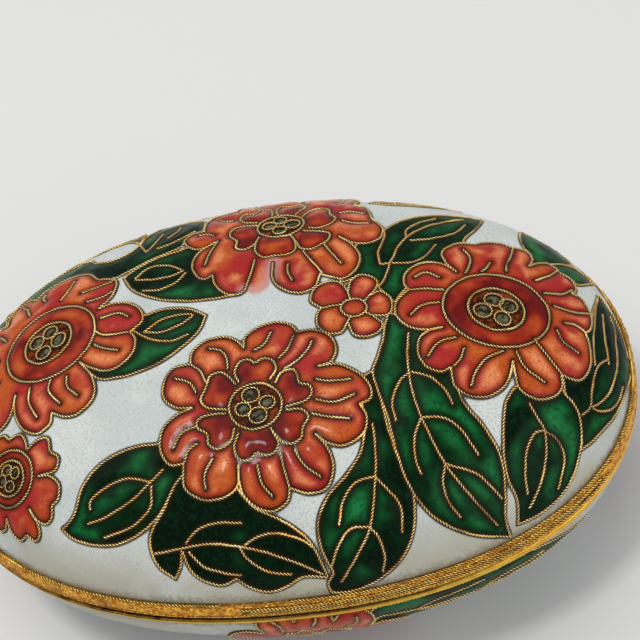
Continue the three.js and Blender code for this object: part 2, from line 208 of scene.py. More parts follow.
BACK_FLOWER = {
    "middle": (2.2, 17.7), "boss": (3.1, 2.9),
    "lobes": [
        [(1.6, 9.4), (1.7, 6.3), (3.0, 4.4), (5.2, 3.5), (7.0, 4.3)],
        [(7.7, 6.4), (8.9, 5.9), (10.6, 5.3), (12.2, 6.8), (12.7, 9.3), (11.7, 11.8)],
        [(10.0, 13.7), (11.3, 12.4), (13.3, 11.8), (15.3, 12.8), (15.7, 15.1)],
        [(14.8, 17.0), (14.3, 17.9), (14.0, 19.8), (13.2, 21.9)],
        [(11.9, 22.8), (12.4, 24.8), (11.1, 27.0), (8.8, 27.8)],
        [(7.3, 26.8), (6.8, 28.8), (4.6, 30.1), (2.0, 29.8)],
        [(0.7, 27.8), (-0.7, 29.0), (-3.1, 28.6), (-4.8, 26.8)],
        [(-4.7, 24.8), (-6.6, 24.4), (-8.2, 22.6), (-8.5, 20.4)],
        [(-8.3, 19.0), (-10.0, 18.6), (-10.9, 17.0), (-9.9, 15.2), (-8.2, 14.3)],
        [(-6.4, 15.4), (-8.5, 13.5), (-9.1, 11.1), (-8.4, 8.9), (-7.2, 7.9)],
        [(-6.2, 8.5), (-5.7, 6.5), (-4.3, 4.8), (-2.7, 4.4)], [(-1.8, 5.0), (-0.3, 4.5), (1.0, 5.7)],
    ],
    "hearts": [
        [(-0.8, 14.5), (-0.8, 12.1), (0.3, 10.7), (1.8, 10.8), (3.3, 10.7), (4.4, 11.6), (4.3, 13.4),
         (3.7, 14.8)],
        [(-0.5, 15.2), (-1.1, 13.5), (-2.5, 12.8), (-3.5, 13.5), (-3.5, 14.9), (-4.5, 16.4), (-4.4, 17.9),
         (-2.9, 18.7), (-1.0, 18.3)],
        [(-1.1, 19.3), (-2.9, 19.8), (-3.7, 21.2), (-3.2, 22.8), (-1.8, 22.6), (-1.1, 23.9), (0.1, 23.6),
         (0.7, 22.1), (0.8, 20.6)],
        [(1.6, 20.8), (1.2, 22.8), (1.8, 24.4), (3.1, 24.1), (4.3, 24.6), (5.2, 23.2), (4.6, 21.6),
         (3.9, 20.4)],
        [(5.0, 19.4), (5.8, 21.1), (7.1, 22.1), (8.5, 21.3), (8.7, 19.7), (9.5, 18.4), (8.8, 16.8),
         (7.3, 16.1), (5.9, 16.4)],
        [(5.2, 15.6), (7.0, 15.3), (8.7, 14.6), (8.7, 13.1), (7.6, 12.1), (6.6, 11.4), (5.2, 11.7),
         (4.5, 13.3)],
    ],
    "veins": [
        [(3.5, 8.9), (3.6, 7.2), (4.2, 5.7)], [(8.1, 12.2), (9.1, 10.3), (10.4, 8.0)],
        [(5.4, 11.2), (6.7, 8.8), (8.0, 6.5)], [(10.3, 17.6), (11.9, 16.7), (14.0, 16.5)],
        [(9.9, 19.8), (11.7, 20.1), (13.4, 19.3)], [(-7.4, 10.6), (-6.9, 13.1), (-6.1, 15.6)],
        [(-9.0, 17.8), (-8.0, 18.0), (-6.8, 17.2)], [(-1.8, 5.0), (-1.2, 7.7), (-0.8, 10.3)],
        [(9.5, 23.5), (10.3, 24.4), (10.3, 25.8)], [(4.4, 25.8), (4.6, 27.0), (4.0, 28.4)],
        [(-1.4, 25.0), (-2.2, 26.2), (-2.4, 27.4)], [(-4.6, 20.8), (-6.0, 21.4), (-6.9, 22.2)],
    ],
    "bare_lobes": [11],
}

LEFT_FLOWER = {
    "middle": (-28.5, 2.8), "boss": (3.5, 3.3), "disc_middle": (-28.3, 2.7), "disc": (6.7, 6.0),
    "lobes": [
        [(-21.5, 6.2), (-19.7, 6.6), (-17.3, 6.0), (-15.6, 4.5), (-15.0, 2.5)],
        [(-16.6, 1.0), (-15.8, -0.4), (-16.0, -2.4), (-17.6, -4.0), (-19.6, -4.3), (-21.7, -3.3)],
        [(-23.3, -2.1), (-21.6, -4.3), (-20.8, -6.7), (-21.4, -8.4), (-23.2, -9.6), (-25.0, -9.5)],
        [(-26.8, -8.5), (-27.1, -10.0), (-28.8, -10.8), (-30.8, -9.9), (-32.2, -8.0), (-32.8, -5.6)],
        [(-32.7, -4.2), (-33.1, -6.5), (-34.2, -8.1), (-36.0, -8.6), (-37.4, -7.3)],
        [(-37.6, -5.2), (-39.7, -5.6), (-40.9, -3.7), (-40.8, -1.6)],
        [(-39.4, -0.3), (-41.1, 0.6), (-41.6, 2.9), (-40.7, 4.6)],
        [(-39.2, 5.3), (-40.5, 6.6), (-40.1, 8.9), (-38.4, 10.0)],
        [(-36.7, 9.6), (-37.0, 11.6), (-36.0, 13.4), (-33.9, 13.7)],
        [(-32.6, 12.7), (-31.2, 14.4), (-28.9, 15.2), (-26.5, 15.2), (-24.2, 14.3)],
        [(-22.6, 12.4), (-21.1, 11.9), (-19.7, 11.1), (-19.5, 9.5), (-20.0, 7.8)],
    ],
    "hearts": [],
    "veins": [
        [(-26.4, 13.8), (-26.9, 12.1), (-27.8, 10.2)], [(-24.7, 10.4), (-22.1, 10.7), (-20.1, 11.1)],
        [(-23.6, 8.2), (-21.4, 8.3), (-19.9, 9.0)], [(-21.0, 4.4), (-18.6, 4.6), (-17.0, 3.6)],
        [(-21.6, 2.4), (-20.0, 1.3), (-16.8, 1.0)], [(-21.5, 0.2), (-20.1, -0.7), (-18.0, -1.6)],
        [(-30.4, -3.8), (-30.4, -6.0), (-29.0, -8.6)], [(-27.3, -3.6), (-27.4, -5.4), (-25.6, -7.6)],
        [(-25.0, -3.7), (-24.7, -5.4), (-23.1, -7.1)], [(-32.7, 9.4), (-33.7, 11.3), (-34.9, 12.5)],
        [(-30.4, 11.2), (-31.2, 12.3), (-31.0, 13.0)], [(-36.0, 6.1), (-37.5, 7.6), (-38.9, 8.1)],
        [(-36.6, 2.6), (-38.6, 2.9), (-40.3, 2.6)], [(-35.9, -1.3), (-37.9, -2.1), (-39.6, -2.3)],
    ],
}

CORNER_FLOWER = {
    "middle": (-33.7, -15.3), "boss": (2.4, 2.2), "disc_middle": (-33.7, -15.3), "disc": (3.8, 3.5),
    "lobes": [
        [(-30.5, -12.5), (-29.0, -11.7), (-27.4, -11.8)],
        [(-27.0, -13.7), (-25.9, -14.7), (-26.6, -16.1)],
        [(-29.1, -16.2), (-27.3, -16.6), (-26.1, -17.9), (-26.4, -19.4)],
        [(-27.5, -20.1), (-27.9, -21.4), (-29.1, -21.9), (-30.5, -21.0)],
        [(-31.1, -19.7), (-30.3, -21.5), (-30.6, -23.0), (-31.7, -23.4)],
        [(-32.7, -22.4), (-34.2, -22.8), (-35.3, -21.8)],
        [(-35.5, -19.8), (-36.5, -20.9), (-38.0, -20.6)],
        [(-37.9, -18.7), (-39.6, -18.1), (-39.8, -16.5)],
        [(-37.9, -15.8), (-39.9, -15.0), (-40.5, -13.5)],
        [(-38.7, -12.5), (-38.9, -10.8), (-37.5, -10.2)], [(-36.2, -11.4), (-35.8, -9.8), (-34.4, -9.5)],
        [(-33.4, -10.4), (-31.9, -10.1), (-30.9, -10.9)],
    ],
    "hearts": [],
    "veins": [],
}

SMALL_BLOSSOM = {
    "middle": (11.8, 0.4), "disc_middle": (11.8, 0.4), "disc": (1.6, 1.4),
    "lobes": [
        [(7.8, 0.7), (6.5, 2.1), (7.1, 4.1), (8.9, 5.0), (10.4, 4.4)],
        [(11.1, 3.0), (11.6, 4.9), (13.0, 5.8), (14.6, 4.9), (14.7, 3.6)],
        [(13.8, 2.2), (15.1, 2.8), (16.3, 1.7), (16.5, 0.2), (15.9, -1.0)],
        [(14.0, -1.0), (15.2, -2.2), (14.8, -3.4), (13.4, -4.1), (11.8, -3.8)],
        [(11.0, -1.8), (10.2, -3.2), (8.6, -3.3), (7.4, -2.0), (7.3, -0.4)],
    ],
    "hearts": [],
    "veins": [
        [(10.3, 1.0), (9.3, 0.9), (7.8, 0.7)], [(11.4, 1.8), (11.1, 3.0)], [(13.1, 1.3), (13.8, 2.2)],
        [(13.1, -0.4), (14.0, -1.0)], [(11.4, -1.0), (11.0, -1.8)],
    ],
}

LID_FLOWERS = [LEFT_FLOWER, CORNER_FLOWER, BACK_FLOWER, RIGHT_FLOWER, FRONT_FLOWER, SMALL_BLOSSOM]

# A leaf's sides start at its stalk or its tip. A later leaf lies over the ones before it, and a
# higher tone is a brighter green.
SHOWN_LEAVES = [
    {"sides": [[(-17.9, 20.2), (-20.4, 22.4), (-23.6, 22.8), (-27.0, 21.8)],
               [(-31.4, 22.0), (-27.6, 25.6), (-23.0, 27.0), (-19.0, 25.4)]],
     "veins": [[(-19.0, 22.8), (-22.6, 24.8), (-27.6, 24.0)]]},
    {"sides": [[(-40.0, 12.0), (-36.0, 10.0), (-28.0, 11.5), (-22.0, 11.0)],
               [(-19.4, 12.3), (-15.3, 14.6), (-12.0, 15.8), (-9.0, 18.0)],
               [(-8.6, 21.0), (-9.6, 24.0), (-12.4, 26.2)], [(-15.8, 27.2), (-16.8, 25.4), (-17.6, 22.4)],
               [(-18.0, 19.8), (-19.0, 17.9), (-21.6, 17.0), (-24.2, 17.8)],
               [(-25.7, 19.7), (-30.0, 20.0), (-35.6, 17.0)]],
     "veins": [[(-18.0, 19.8), (-17.2, 18.2), (-16.4, 16.8)],
               [(-16.4, 16.8), (-15.4, 19.2), (-15.0, 22.0)],
               [(-15.0, 17.0), (-12.4, 18.2), (-10.0, 20.2)],
               [(-13.9, 19.6), (-12.8, 21.4), (-12.6, 23.0)]], "tone": 0.35},
    {"sides": [[(-18.7, 11.6), (-17.3, 13.0), (-15.1, 14.3), (-12.3, 15.1), (-9.0, 15.0)],
               [(-4.0, 11.6), (-2.0, 7.7)],
               [(-2.4, 4.4), (-6.3, 4.5), (-9.6, 4.8), (-12.8, 5.8), (-15.8, 7.5), (-17.6, 9.4)]],
     "veins": [[(-17.1, 10.9), (-15.3, 12.6), (-12.8, 12.4), (-10.6, 10.9)],
               [(-17.1, 10.7), (-14.6, 10.0), (-12.2, 9.9), (-10.3, 10.7)],
               [(-15.8, 8.1), (-13.3, 7.7), (-11.1, 8.6), (-10.0, 10.1)]]},
    {"sides": [[(-16.2, 1.1), (-15.2, 2.9), (-13.6, 3.8), (-11.5, 3.9), (-9.0, 3.3)],
               [(-6.8, 1.8), (-7.6, -0.5), (-9.3, -2.3), (-12.0, -4.2), (-14.9, -5.2), (-18.0, -5.5),
                (-20.9, -4.9)], [(-23.1, -2.1), (-19.1, -0.2)]],
     "veins": [[(-14.8, 0.7), (-12.7, 2.2), (-10.3, 2.6), (-8.5, 2.2), (-9.8, 1.1), (-12.2, 0.3),
                (-14.7, 0.6)], [(-16.2, 1.1), (-14.0, -0.5), (-11.3, -1.4), (-8.9, -0.9)]]},
    {"sides": [[(14.9, 3.7), (15.8, 6.0), (16.2, 7.7), (15.1, 7.9), (14.7, 10.1), (15.1, 12.7),
                (16.2, 15.3), (18.0, 17.3), (20.4, 18.8), (23.5, 19.9), (26.5, 20.3)],
               [(29.7, 20.4), (28.9, 18.0), (27.8, 15.7), (26.2, 12.8)],
               [(26.0, 8.0), (21.4, 6.0), (17.9, 2.7), (16.7, 1.1)]],
     "veins": [[(15.4, 5.1), (16.7, 8.6), (18.3, 12.6), (21.1, 15.7), (24.0, 17.6), (26.8, 19.2)],
               [(18.7, 13.5), (18.9, 15.2), (20.5, 17.0), (22.9, 18.6)],
               [(19.2, 12.6), (22.2, 13.1), (24.8, 14.4), (26.0, 15.8), (26.9, 17.4)],
               [(16.7, 8.0), (19.3, 8.1), (21.1, 9.4), (22.5, 11.8)],
               [(14.2, 10.0), (15.3, 12.9), (16.2, 15.3)]]},
    {"sides": [[(11.9, 7.5), (12.5, 12.2), (14.6, 13.2), (16.0, 13.9)],
               [(15.0, 10.1), (15.3, 7.9), (16.4, 7.7), (14.9, 3.7)], [(12.9, 5.7), (10.2, 4.9)]],
     "veins": []},
    {"sides": [[(34.8, 9.3), (34.8, 12.2), (34.5, 15.4), (35.3, 19.0)],
               [(36.5, 21.2), (39.4, 20.0), (41.8, 17.0), (42.4, 13.6)], [(41.0, 12.2), (37.0, 9.0)]],
     "veins": [], "tone": 0.5},
    {"sides": [[(38.2, 10.8), (41.0, 12.2), (43.6, 12.4), (46.0, 11.6)], [(44.0, 9.4), (41.6, 7.9)],
               [(38.0, 8.0)]],
     "veins": [], "tone": 0.6},
    {"sides": [[(40.3, -17.4), (40.0, -15.0), (37.4, -10.0), (37.6, -4.2), (40.6, 0.0), (42.8, 2.0),
                (44.0, 4.4), (45.0, 6.4)],
               [(45.7, 8.0), (47.5, 7.4), (49.4, 5.2), (50.9, 2.2), (51.9, -1.0), (51.4, -3.8),
                (49.6, -6.6), (48.0, -9.3), (46.4, -11.7), (43.7, -14.5), (42.1, -16.1)]],
     "veins": [[(45.2, 6.9), (44.3, 4.5), (43.1, 0.1), (42.6, -3.0), (42.5, -5.8)],
               [(45.5, 4.0), (45.1, 0.9), (45.0, -1.9), (45.2, -4.8)],
               [(45.0, -4.0), (43.2, -5.5), (42.2, -7.7), (41.7, -9.9), (41.5, -11.8), (40.1, -13.2)],
               [(47.4, 4.8), (47.8, 2.5), (47.4, -0.8), (47.0, -4.3), (45.3, -8.4), (43.0, -11.0),
                (41.6, -11.8)],
               [(48.3, -6.8), (47.2, -9.3), (45.4, -11.1), (43.2, -12.0), (41.8, -11.9)]], "tone": 0.35},
    {"sides": [[(-40.4, 17.2), (-40.1, 14.8), (-37.4, 9.8), (-37.6, 4.0), (-40.0, -2.0), (-42.8, -5.6)],
               [(-45.4, -7.4), (-47.4, -6.0), (-48.9, -1.8), (-49.7, 2.0), (-49.5, 6.0), (-47.4, 11.0),
                (-44.7, 13.9), (-42.2, 16.0)]],
     "veins": [[(-44.8, -6.6), (-44.2, -4.4), (-43.6, -0.1), (-43.4, 3.0), (-43.6, 5.8)],
               [(-44.8, 4.0), (-43.1, 5.5), (-42.1, 7.6), (-41.7, 9.8), (-41.5, 11.7)],
               [(-46.9, -4.4), (-47.4, -2.2), (-47.1, 1.0), (-46.8, 4.4), (-45.2, 8.4), (-43.0, 10.9),
                (-41.6, 11.7)],
               [(-48.1, 6.9), (-47.1, 9.3), (-45.3, 11.1), (-43.2, 11.9), (-41.8, 11.8)]], "tone": 0.35},
    {"sides": [[(-8.8, -16.0), (-12.2, -15.5), (-15.3, -15.3), (-18.5, -15.9), (-21.2, -17.2),
                (-23.1, -19.1), (-24.4, -21.4), (-25.6, -22.5)],
               [(-26.9, -23.0), (-25.7, -24.3), (-23.6, -25.3), (-21.1, -25.9), (-18.6, -25.9),
                (-15.7, -25.1), (-13.2, -23.6), (-11.1, -21.1), (-9.2, -19.0)]],
     "veins": [[(-12.1, -18.5), (-13.9, -19.8), (-16.8, -21.6), (-20.4, -22.8), (-22.9, -23.1)],
               [(-13.9, -19.8), (-15.7, -19.1), (-17.5, -18.9), (-20.3, -19.7), (-22.0, -20.6),
                (-22.3, -21.6)],
               [(-13.8, -20.2), (-14.1, -22.3), (-15.4, -23.6), (-17.5, -24.5), (-21.1, -25.0)]],
     "tone": 0.5},
    {"sides": [[(-12.7, -23.4), (-14.6, -25.4), (-15.1, -27.4), (-14.6, -29.3)],
               [(-13.0, -30.8), (-11.8, -29.5)],
               [(-11.1, -27.8), (-10.6, -30.0), (-9.3, -31.4), (-7.1, -32.2)],
               [(-4.9, -31.6), (-3.5, -32.8), (-1.2, -33.6), (1.3, -33.1), (3.7, -32.1)],
               [(6.8, -32.4), (6.1, -30.6), (5.0, -28.3), (3.0, -26.5), (0.5, -25.0), (-1.8, -23.6)],
               [(-4.8, -19.1), (-9.8, -19.7)]],
     "veins": [[(-14.8, -27.7), (-11.3, -27.6), (-7.8, -27.4), (-4.2, -28.0), (-0.6, -29.0), (3.0, -30.4),
                (6.2, -32.0)], [(-10.4, -27.1), (-8.5, -25.7), (-5.9, -25.3), (-3.0, -25.6)],
               [(-3.1, -28.0), (-1.2, -27.2), (1.3, -27.1), (3.8, -27.9), (5.2, -28.8)],
               [(-10.3, -28.0), (-8.8, -29.8), (-6.3, -30.8), (-4.2, -31.3)],
               [(-3.8, -28.1), (-2.8, -29.7), (-0.6, -31.2), (2.2, -31.7)]], "tone": -0.2},
    {"sides": [[(12.6, -15.9), (11.7, -19.1), (9.8, -21.5), (7.7, -23.5), (6.4, -25.6), (6.1, -27.8),
                (6.7, -30.2), (7.5, -31.8), (6.8, -33.2)],
               [(7.1, -34.4), (9.1, -34.6), (11.1, -34.2), (13.5, -33.2), (15.7, -31.5), (17.2, -29.4),
                (17.9, -26.9)], [(17.9, -23.7), (16.0, -19.0), (14.8, -14.1), (14.0, -9.1)],
               [(12.0, -10.2)]],
     "veins": [[(13.4, -15.5), (13.6, -18.7), (13.4, -21.7), (13.0, -24.6), (12.4, -27.2), (11.2, -29.4),
                (9.7, -31.5), (8.5, -33.1)], [(13.4, -21.7), (11.1, -22.2), (9.4, -24.1), (8.7, -26.7)],
               [(13.4, -21.7), (14.7, -23.1), (16.2, -24.9), (16.4, -27.8)],
               [(12.4, -27.1), (10.1, -27.2), (8.3, -29.1), (7.4, -31.2)],
               [(12.4, -27.2), (13.4, -28.2), (14.2, -30.4), (14.0, -32.2)]]},
    {"sides": [[(16.0, -0.6), (15.5, -2.4), (15.2, -4.4), (14.5, -6.8), (13.8, -9.0), (14.4, -12.0),
                (15.3, -15.0), (16.0, -18.6), (17.0, -22.0), (18.6, -24.6), (20.8, -26.5), (24.0, -27.8),
                (27.5, -28.4)],
               [(31.7, -28.4), (30.1, -26.5), (29.6, -24.0), (29.2, -21.0), (28.4, -18.7), (26.5, -15.7),
                (25.2, -14.2)], [(24.1, -12.6), (22.1, -6.2), (19.1, -2.2)]],
     "veins": [[(18.3, -3.6), (18.0, -7.4), (18.4, -11.8), (19.3, -15.1), (20.6, -18.1), (22.0, -20.7),
                (24.3, -23.3), (26.7, -25.4), (29.0, -27.1)],
               [(18.1, -9.3), (16.8, -10.5), (15.9, -13.0), (16.2, -15.4)],
               [(18.3, -9.1), (20.4, -9.8), (22.1, -11.3), (23.1, -13.4)],
               [(19.2, -15.0), (18.3, -17.3), (18.3, -19.7), (18.9, -21.6)],
               [(19.3, -15.0), (21.6, -15.0), (23.7, -16.2), (26.0, -19.4)],
               [(21.8, -20.5), (21.5, -22.7), (22.3, -24.7), (23.8, -26.3)],
               [(22.0, -20.5), (25.3, -21.3), (27.2, -22.5), (29.1, -24.1)]], "tone": 0.75},
    {"sides": [[(30.6, -11.2), (29.6, -13.1), (29.2, -16.2), (29.2, -19.2), (29.9, -22.0), (31.3, -24.1)],
               [(32.2, -26.9), (33.6, -26.4), (35.7, -25.4), (38.1, -23.4), (39.6, -20.8), (40.2, -17.5),
                (40.0, -14.4), (39.0, -12.2), (37.2, -10.6)], [(36.3, -9.6), (33.5, -8.8)]],
     "veins": [[(32.6, -12.7), (33.7, -14.5), (34.6, -15.9), (34.9, -18.5), (34.5, -21.9), (33.4, -25.0)],
               [(34.6, -15.9), (33.2, -16.4), (32.2, -18.5), (32.1, -21.2), (32.7, -23.4)],
               [(34.6, -15.9), (36.6, -17.0), (37.7, -19.0), (37.5, -22.4)]], "tone": 0.6},
]

LEAF_FULLNESS = 0.7
LOBES = 10
HEARTS = 6


def simple_leaf(stalk, tip, width, bow):
    """A leaf of the hidden sides: a pointed blade about a bowed midrib, with side veins."""
    stalk, tip = np.array(stalk, float), np.array(tip, float)
    along = tip - stalk
    side = np.array([-along[1], along[0]]) / np.linalg.norm(along)
    length = np.linalg.norm(along)

    def at(share, off):
        bowed = bow * length * math.sin(math.pi * share)
        blade = off * width / 2 * math.sin(math.pi * share) ** LEAF_FULLNESS
        return tuple(stalk + along * share + side * (bowed + blade))

    shares = (0.0, 0.15, 0.35, 0.6, 0.82)
    right_side = [at(share, -1) for share in shares]
    left_side = [at(1 - share, 1) for share in shares]
    veins = [[at(0.05, 0), at(0.3, 0), at(0.6, 0), at(0.88, 0)]]
    for start in (0.25, 0.5):
        for off in (-1, 1):
            veins.append([at(start, 0), at(start + 0.1, off * 0.35), at(start + 0.28, off * 0.55)])
    return {"sides": [right_side, left_side], "veins": veins}


def simple_flower(middle, reach, first, with_hearts):
    """A flower of the hidden sides: ten even lobes about a dark red disc or six dark red hearts."""
    def places(start, *steps):
        """Places about the middle, each with its turn in degrees and its share of the reach."""
        turns = [(math.radians(start + turn), share * reach) for turn, share in steps]
        return [(middle[0] + out * math.cos(turn), middle[1] + out * math.sin(turn)) for turn, out in turns]

    lobes, veins, hearts = [], [], []
    for k in range(LOBES):
        start = first + 360 / LOBES * k
        lobes.append(places(start, (0, 0.72), (5, 0.88), (13, 1.0), (23, 1.0), (31, 0.88)))
        veins.append(places(start, (16, 0.6), (20, 0.74), (17, 0.87)))
    for k in range(HEARTS if with_hearts else 0):
        hearts.append(places(first + 360 / HEARTS * k, (-22, 0.2652), (-24, 0.4), (-12, 0.52), (0, 0.47),
                             (12, 0.52), (24, 0.4), (22, 0.2652)))
    boss, disc = 0.26 * reach, 0.53 * reach
    flower = {"middle": middle, "boss": (boss, boss), "lobes": lobes, "hearts": hearts, "veins": veins}
    if not with_hearts:
        flower["disc_middle"], flower["disc"] = middle, (disc, disc)
    return flower


LID_LEAVES = [
    simple_leaf((14.0, 25.0), (28.0, 26.4), 6.0, 0.08),
    simple_leaf((-7.0, 29.4), (-21.0, 31.6), 5.0, -0.04),
] + SHOWN_LEAVES
add_unrolled_lengths(LID_DOME)

# Enamel of the lid
# Glassy enamel fired into the cells between the wires: speckled white ground, deep green leaves,
# orange-red petals and dark red hearts, each swelling a little between its wires.
# The inside has a plain pale lining, as enamel on the front of a sheet needs enamel behind it.

WHITE, GREEN, PETAL, HEART, BOSS, CURL, LINING = range(7)
SWELLS = (0.05, 0.16, 0.34, 0.3, 0.0, 0.1)  # of the ground, leaves, petals, hearts, bosses and curls
SWELL_REACH = 0.9
RIPPLE = 0.03
PETAL_BASE = 0.3
FLOWER_FOOT = 0.55
EDGE_FADE = 0.8
SMOOTHINGS = 3
LEAF_TONE = 0.4
SHORTEST_RUN = 4
LID_GRID = (352, 248)
LINING_RINGS = 9
HALVED_RINGS = (1, 2, 3, 5)
FAR = 9.0


def inside(outline, places):
    """Which places lie inside a closed outline."""
    hit = np.zeros(len(places), bool)
    low, high = outline.min(axis=0), outline.max(axis=0)
    near = np.flatnonzero(np.all((places >= low) & (places <= high), axis=1))
    if len(near) == 0:
        return hit
    x, y = places[near, 0], places[near, 1]
    odd = np.zeros(len(near), bool)
    for (ax, ay), (bx, by) in zip(outline, np.roll(outline, -1, axis=0)):
        if ay != by:
            odd ^= ((ay > y) != (by > y)) & (x < (bx - ax) * (y - ay) / (by - ay) + ax)
    hit[near] = odd
    return hit


def oval_share(places):
    """How far out each unrolled place lies, as a share of the oval."""
    x, y = np.abs(places[:, 0]) / HALF_LENGTH, np.abs(places[:, 1]) / HALF_WIDTH
    return np.maximum(x**OVAL_POWER + y**OVAL_POWER, TINY) ** (1 / OVAL_POWER)


def curls(flower, chance):
    """The four small rings of thinner wire in the middle of a flower, none quite round or even."""
    along, across = flower["boss"]
    first = chance.uniform(0, 90)
    rings = []
    for k in range(4):
        turn = math.radians(first + 90 * k + chance.uniform(-12, 12))
        out = chance.uniform(0.42, 0.52)
        centre = (flower["middle"][0] + out * along * math.cos(turn),
                  flower["middle"][1] + out * across * math.sin(turn))
        half_along = chance.uniform(0.28, 0.35) * along
        rings.append(oval_ring(centre, half_along, chance.uniform(0.28, 0.35) * across))
    return rings


def tree_of(places):
    """A tree of places, in which the nearest one is quick to find."""
    tree = KDTree(len(places))
    for number, place in enumerate(places):
        tree.insert((place[0], place[1], 0), number)
    tree.balance()
    return tree


def gap_to(tree, places):
    """Distance from each place to the nearest point of a tree."""
    return np.array([tree.find((x, y, 0))[2] for x, y in places])


def worked_out(flowers, leaves, edge):
    """Turns a design into wires and cells: each wire a run of places, each cell a closed outline."""
    wires, cells, bare = [], [], []
    flower_shapes = [joined(flower["lobes"]) for flower in flowers]
    leaf_shapes = [joined(leaf["sides"]) for leaf in leaves]

    def closed(outline):
        return np.vstack([outline, outline[:1]])

    def lay(group, path, covers):
        """Lays wire where no cover hides the path and it runs inside the edge of the enamel."""
        hidden = oval_share(path) > edge
        for cover in covers:
            hidden |= inside(cover, path)
        stretches = np.split(np.arange(len(path)), np.flatnonzero(np.diff(hidden.astype(int))) + 1)
        wires.extend((group, path[s]) for s in stretches if not hidden[s[0]] and len(s) >= SHORTEST_RUN)

    for number, leaf in enumerate(leaves):
        covers = flower_shapes + leaf_shapes[number + 1:]
        cells.append((GREEN, leaf_shapes[number], leaf.get("tone", LEAF_TONE)))
        lay("leaf", closed(leaf_shapes[number]), covers)
        for vein in leaf["veins"]:
            lay("leaf", bent(vein), covers)
    for number, flower in enumerate(flowers):
        covers = flower_shapes[number + 1:]
        cells.append((PETAL, flower_shapes[number], 0.0))
        lobes = flower["lobes"]
        for k, lobe in enumerate(lobes):
            side = bent(lobe + [lobes[(k + 1) % len(lobes)][0]])
            if k in flower.get("bare_lobes", []):
                bare.append(side)
            else:
                lay("petal", side, covers)
        for vein in flower["veins"]:
            lay("petal", bent(vein), covers)
        if "disc" in flower:
            ring = oval_ring(flower["disc_middle"], *flower["disc"])
            cells.append((HEART if "boss" in flower else PETAL, ring, 0.0))
            lay("petal", closed(ring), covers)
        for heart in flower["hearts"]:
            cells.append((HEART, bent(heart), 0.0))
            lay("petal", bent(heart), covers)
        if "boss" in flower:
            ring = oval_ring(flower["middle"], *flower["boss"])
            cells.append((BOSS, ring, 0.0))
            lay("petal", closed(ring), covers)
            for ring in curls(flower, random.Random(number)):
                cells.append((CURL, ring, 0.0))
                lay("curl", closed(ring), covers)
    return {"wires": wires, "cells": cells, "flowers": flower_shapes, "bare": bare,
            "wire_tree": tree_of(np.vstack([run for _, run in wires])),
            "flower_tree": tree_of(np.vstack(flower_shapes))}


def flower_rise(design, places):
    """How far the flowers lift the surface: a low step that runs out at their outlines."""
    in_flower = np.zeros(len(places), bool)
    for outline in design["flowers"]:
        in_flower |= inside(outline, places)
    gap = gap_to(design["flower_tree"], places)
    return np.where(in_flower, PETAL_BASE, PETAL_BASE * np.exp(-((gap / FLOWER_FOOT) ** 2)))


def cell_kinds(design, places):
    """Kind of cell for each place, and the tone of a leaf."""
    kind = np.full(len(places), WHITE)
    tone = np.zeros(len(places))
    for cell_kind, outline, cell_tone in design["cells"]:
        hit = inside(outline, places)
        kind[hit] = cell_kind
        tone[hit] = cell_tone
    return kind, tone


def enamel_lift(design, places, kind, gap):
    """How high the enamel stands: the flowers' step, and a swell between the wires of each cell."""
    rounded = 1 - np.exp(-((gap / SWELL_REACH) ** 1.5))
    ripple = RIPPLE * np.sin(places[:, 0] * 1.3 + 2 * np.sin(places[:, 1] * 0.9))
    return flower_rise(design, places) + (np.array(SWELLS)[kind] + ripple) * rounded


def square_to_oval(columns, rows, share):
    """A grid of quads that fills the unrolled oval out to a share of its half axes."""
    across, along = np.meshgrid(np.linspace(-1, 1, rows + 1), np.linspace(-1, 1, columns + 1))
    x = along * np.sqrt(1 - across**2 / 2)
    y = across * np.sqrt(1 - along**2 / 2)
    turn = np.arctan2(y, x)
    oval = (np.abs(np.cos(turn)) ** OVAL_POWER + np.abs(np.sin(turn)) ** OVAL_POWER) ** (-1 / OVAL_POWER)
    grow = oval ** (x**2 + y**2) * share
    return np.stack([x * grow * HALF_LENGTH, y * grow * HALF_WIDTH], axis=-1).reshape(-1, 2)


def softened(grid):
    """A grid of lifts in which each is averaged with its neighbours, as melting enamel levels out."""
    wide = np.pad(grid, 1, mode="edge")
    rows = (wide[:-2] + 2 * wide[1:-1] + wide[2:]) / 4
    return (rows[:, :-2] + 2 * rows[:, 1:-1] + rows[:, 2:]) / 4


def lining(dome, edge, unit, above, start):
    """Points and faces of the plain inside: rings that get coarser towards the crown."""
    hollow_rise = dome["rise"] - WALL
    edge_height = edge / hollow_rise
    last_angle = math.atan2((1 - edge_height ** dome["power"]) ** (1 / dome["power"]), edge_height)
    points, faces = [], []
    for k in range(LINING_RINGS):
        reach, height = section(np.array([last_angle * (1 - k / LINING_RINGS)]), dome["power"])
        if k in HALVED_RINGS:
            unit = unit[::2]
        ring = unit * reach * np.array([HALF_LENGTH - WALL, HALF_WIDTH - WALL])
        z = np.full(len(ring), SEAM_Z + dome["side"] * hollow_rise * height[0])
        points.append(np.column_stack([ring, z]) * MM)
        here = list(range(start, start + len(ring)))
        start += len(ring)
        fine, coarse = len(above), len(here)
        for i in range(coarse):
            after = (i + 1) % coarse
            if fine == coarse:
                faces.append([above[after], above[i], here[i], here[after]])
            else:
                a, b, c = above[2 * i], above[2 * i + 1], above[(2 * i + 2) % fine]
                faces += [[b, a, here[i]], [c, b, here[after]], [b, here[i], here[after]]]
        above = here
    points.append(np.array([[0, 0, SEAM_Z + dome["side"] * hollow_rise]]) * MM)
    faces += [[above[(i + 1) % len(above)], above[i], start] for i in range(len(above))]
    return np.vstack(points), faces


def placed(name, data):
    """A new object in the scene."""
    made = bpy.data.objects.new(name, data)
    bpy.context.scene.collection.objects.link(made)
    return made


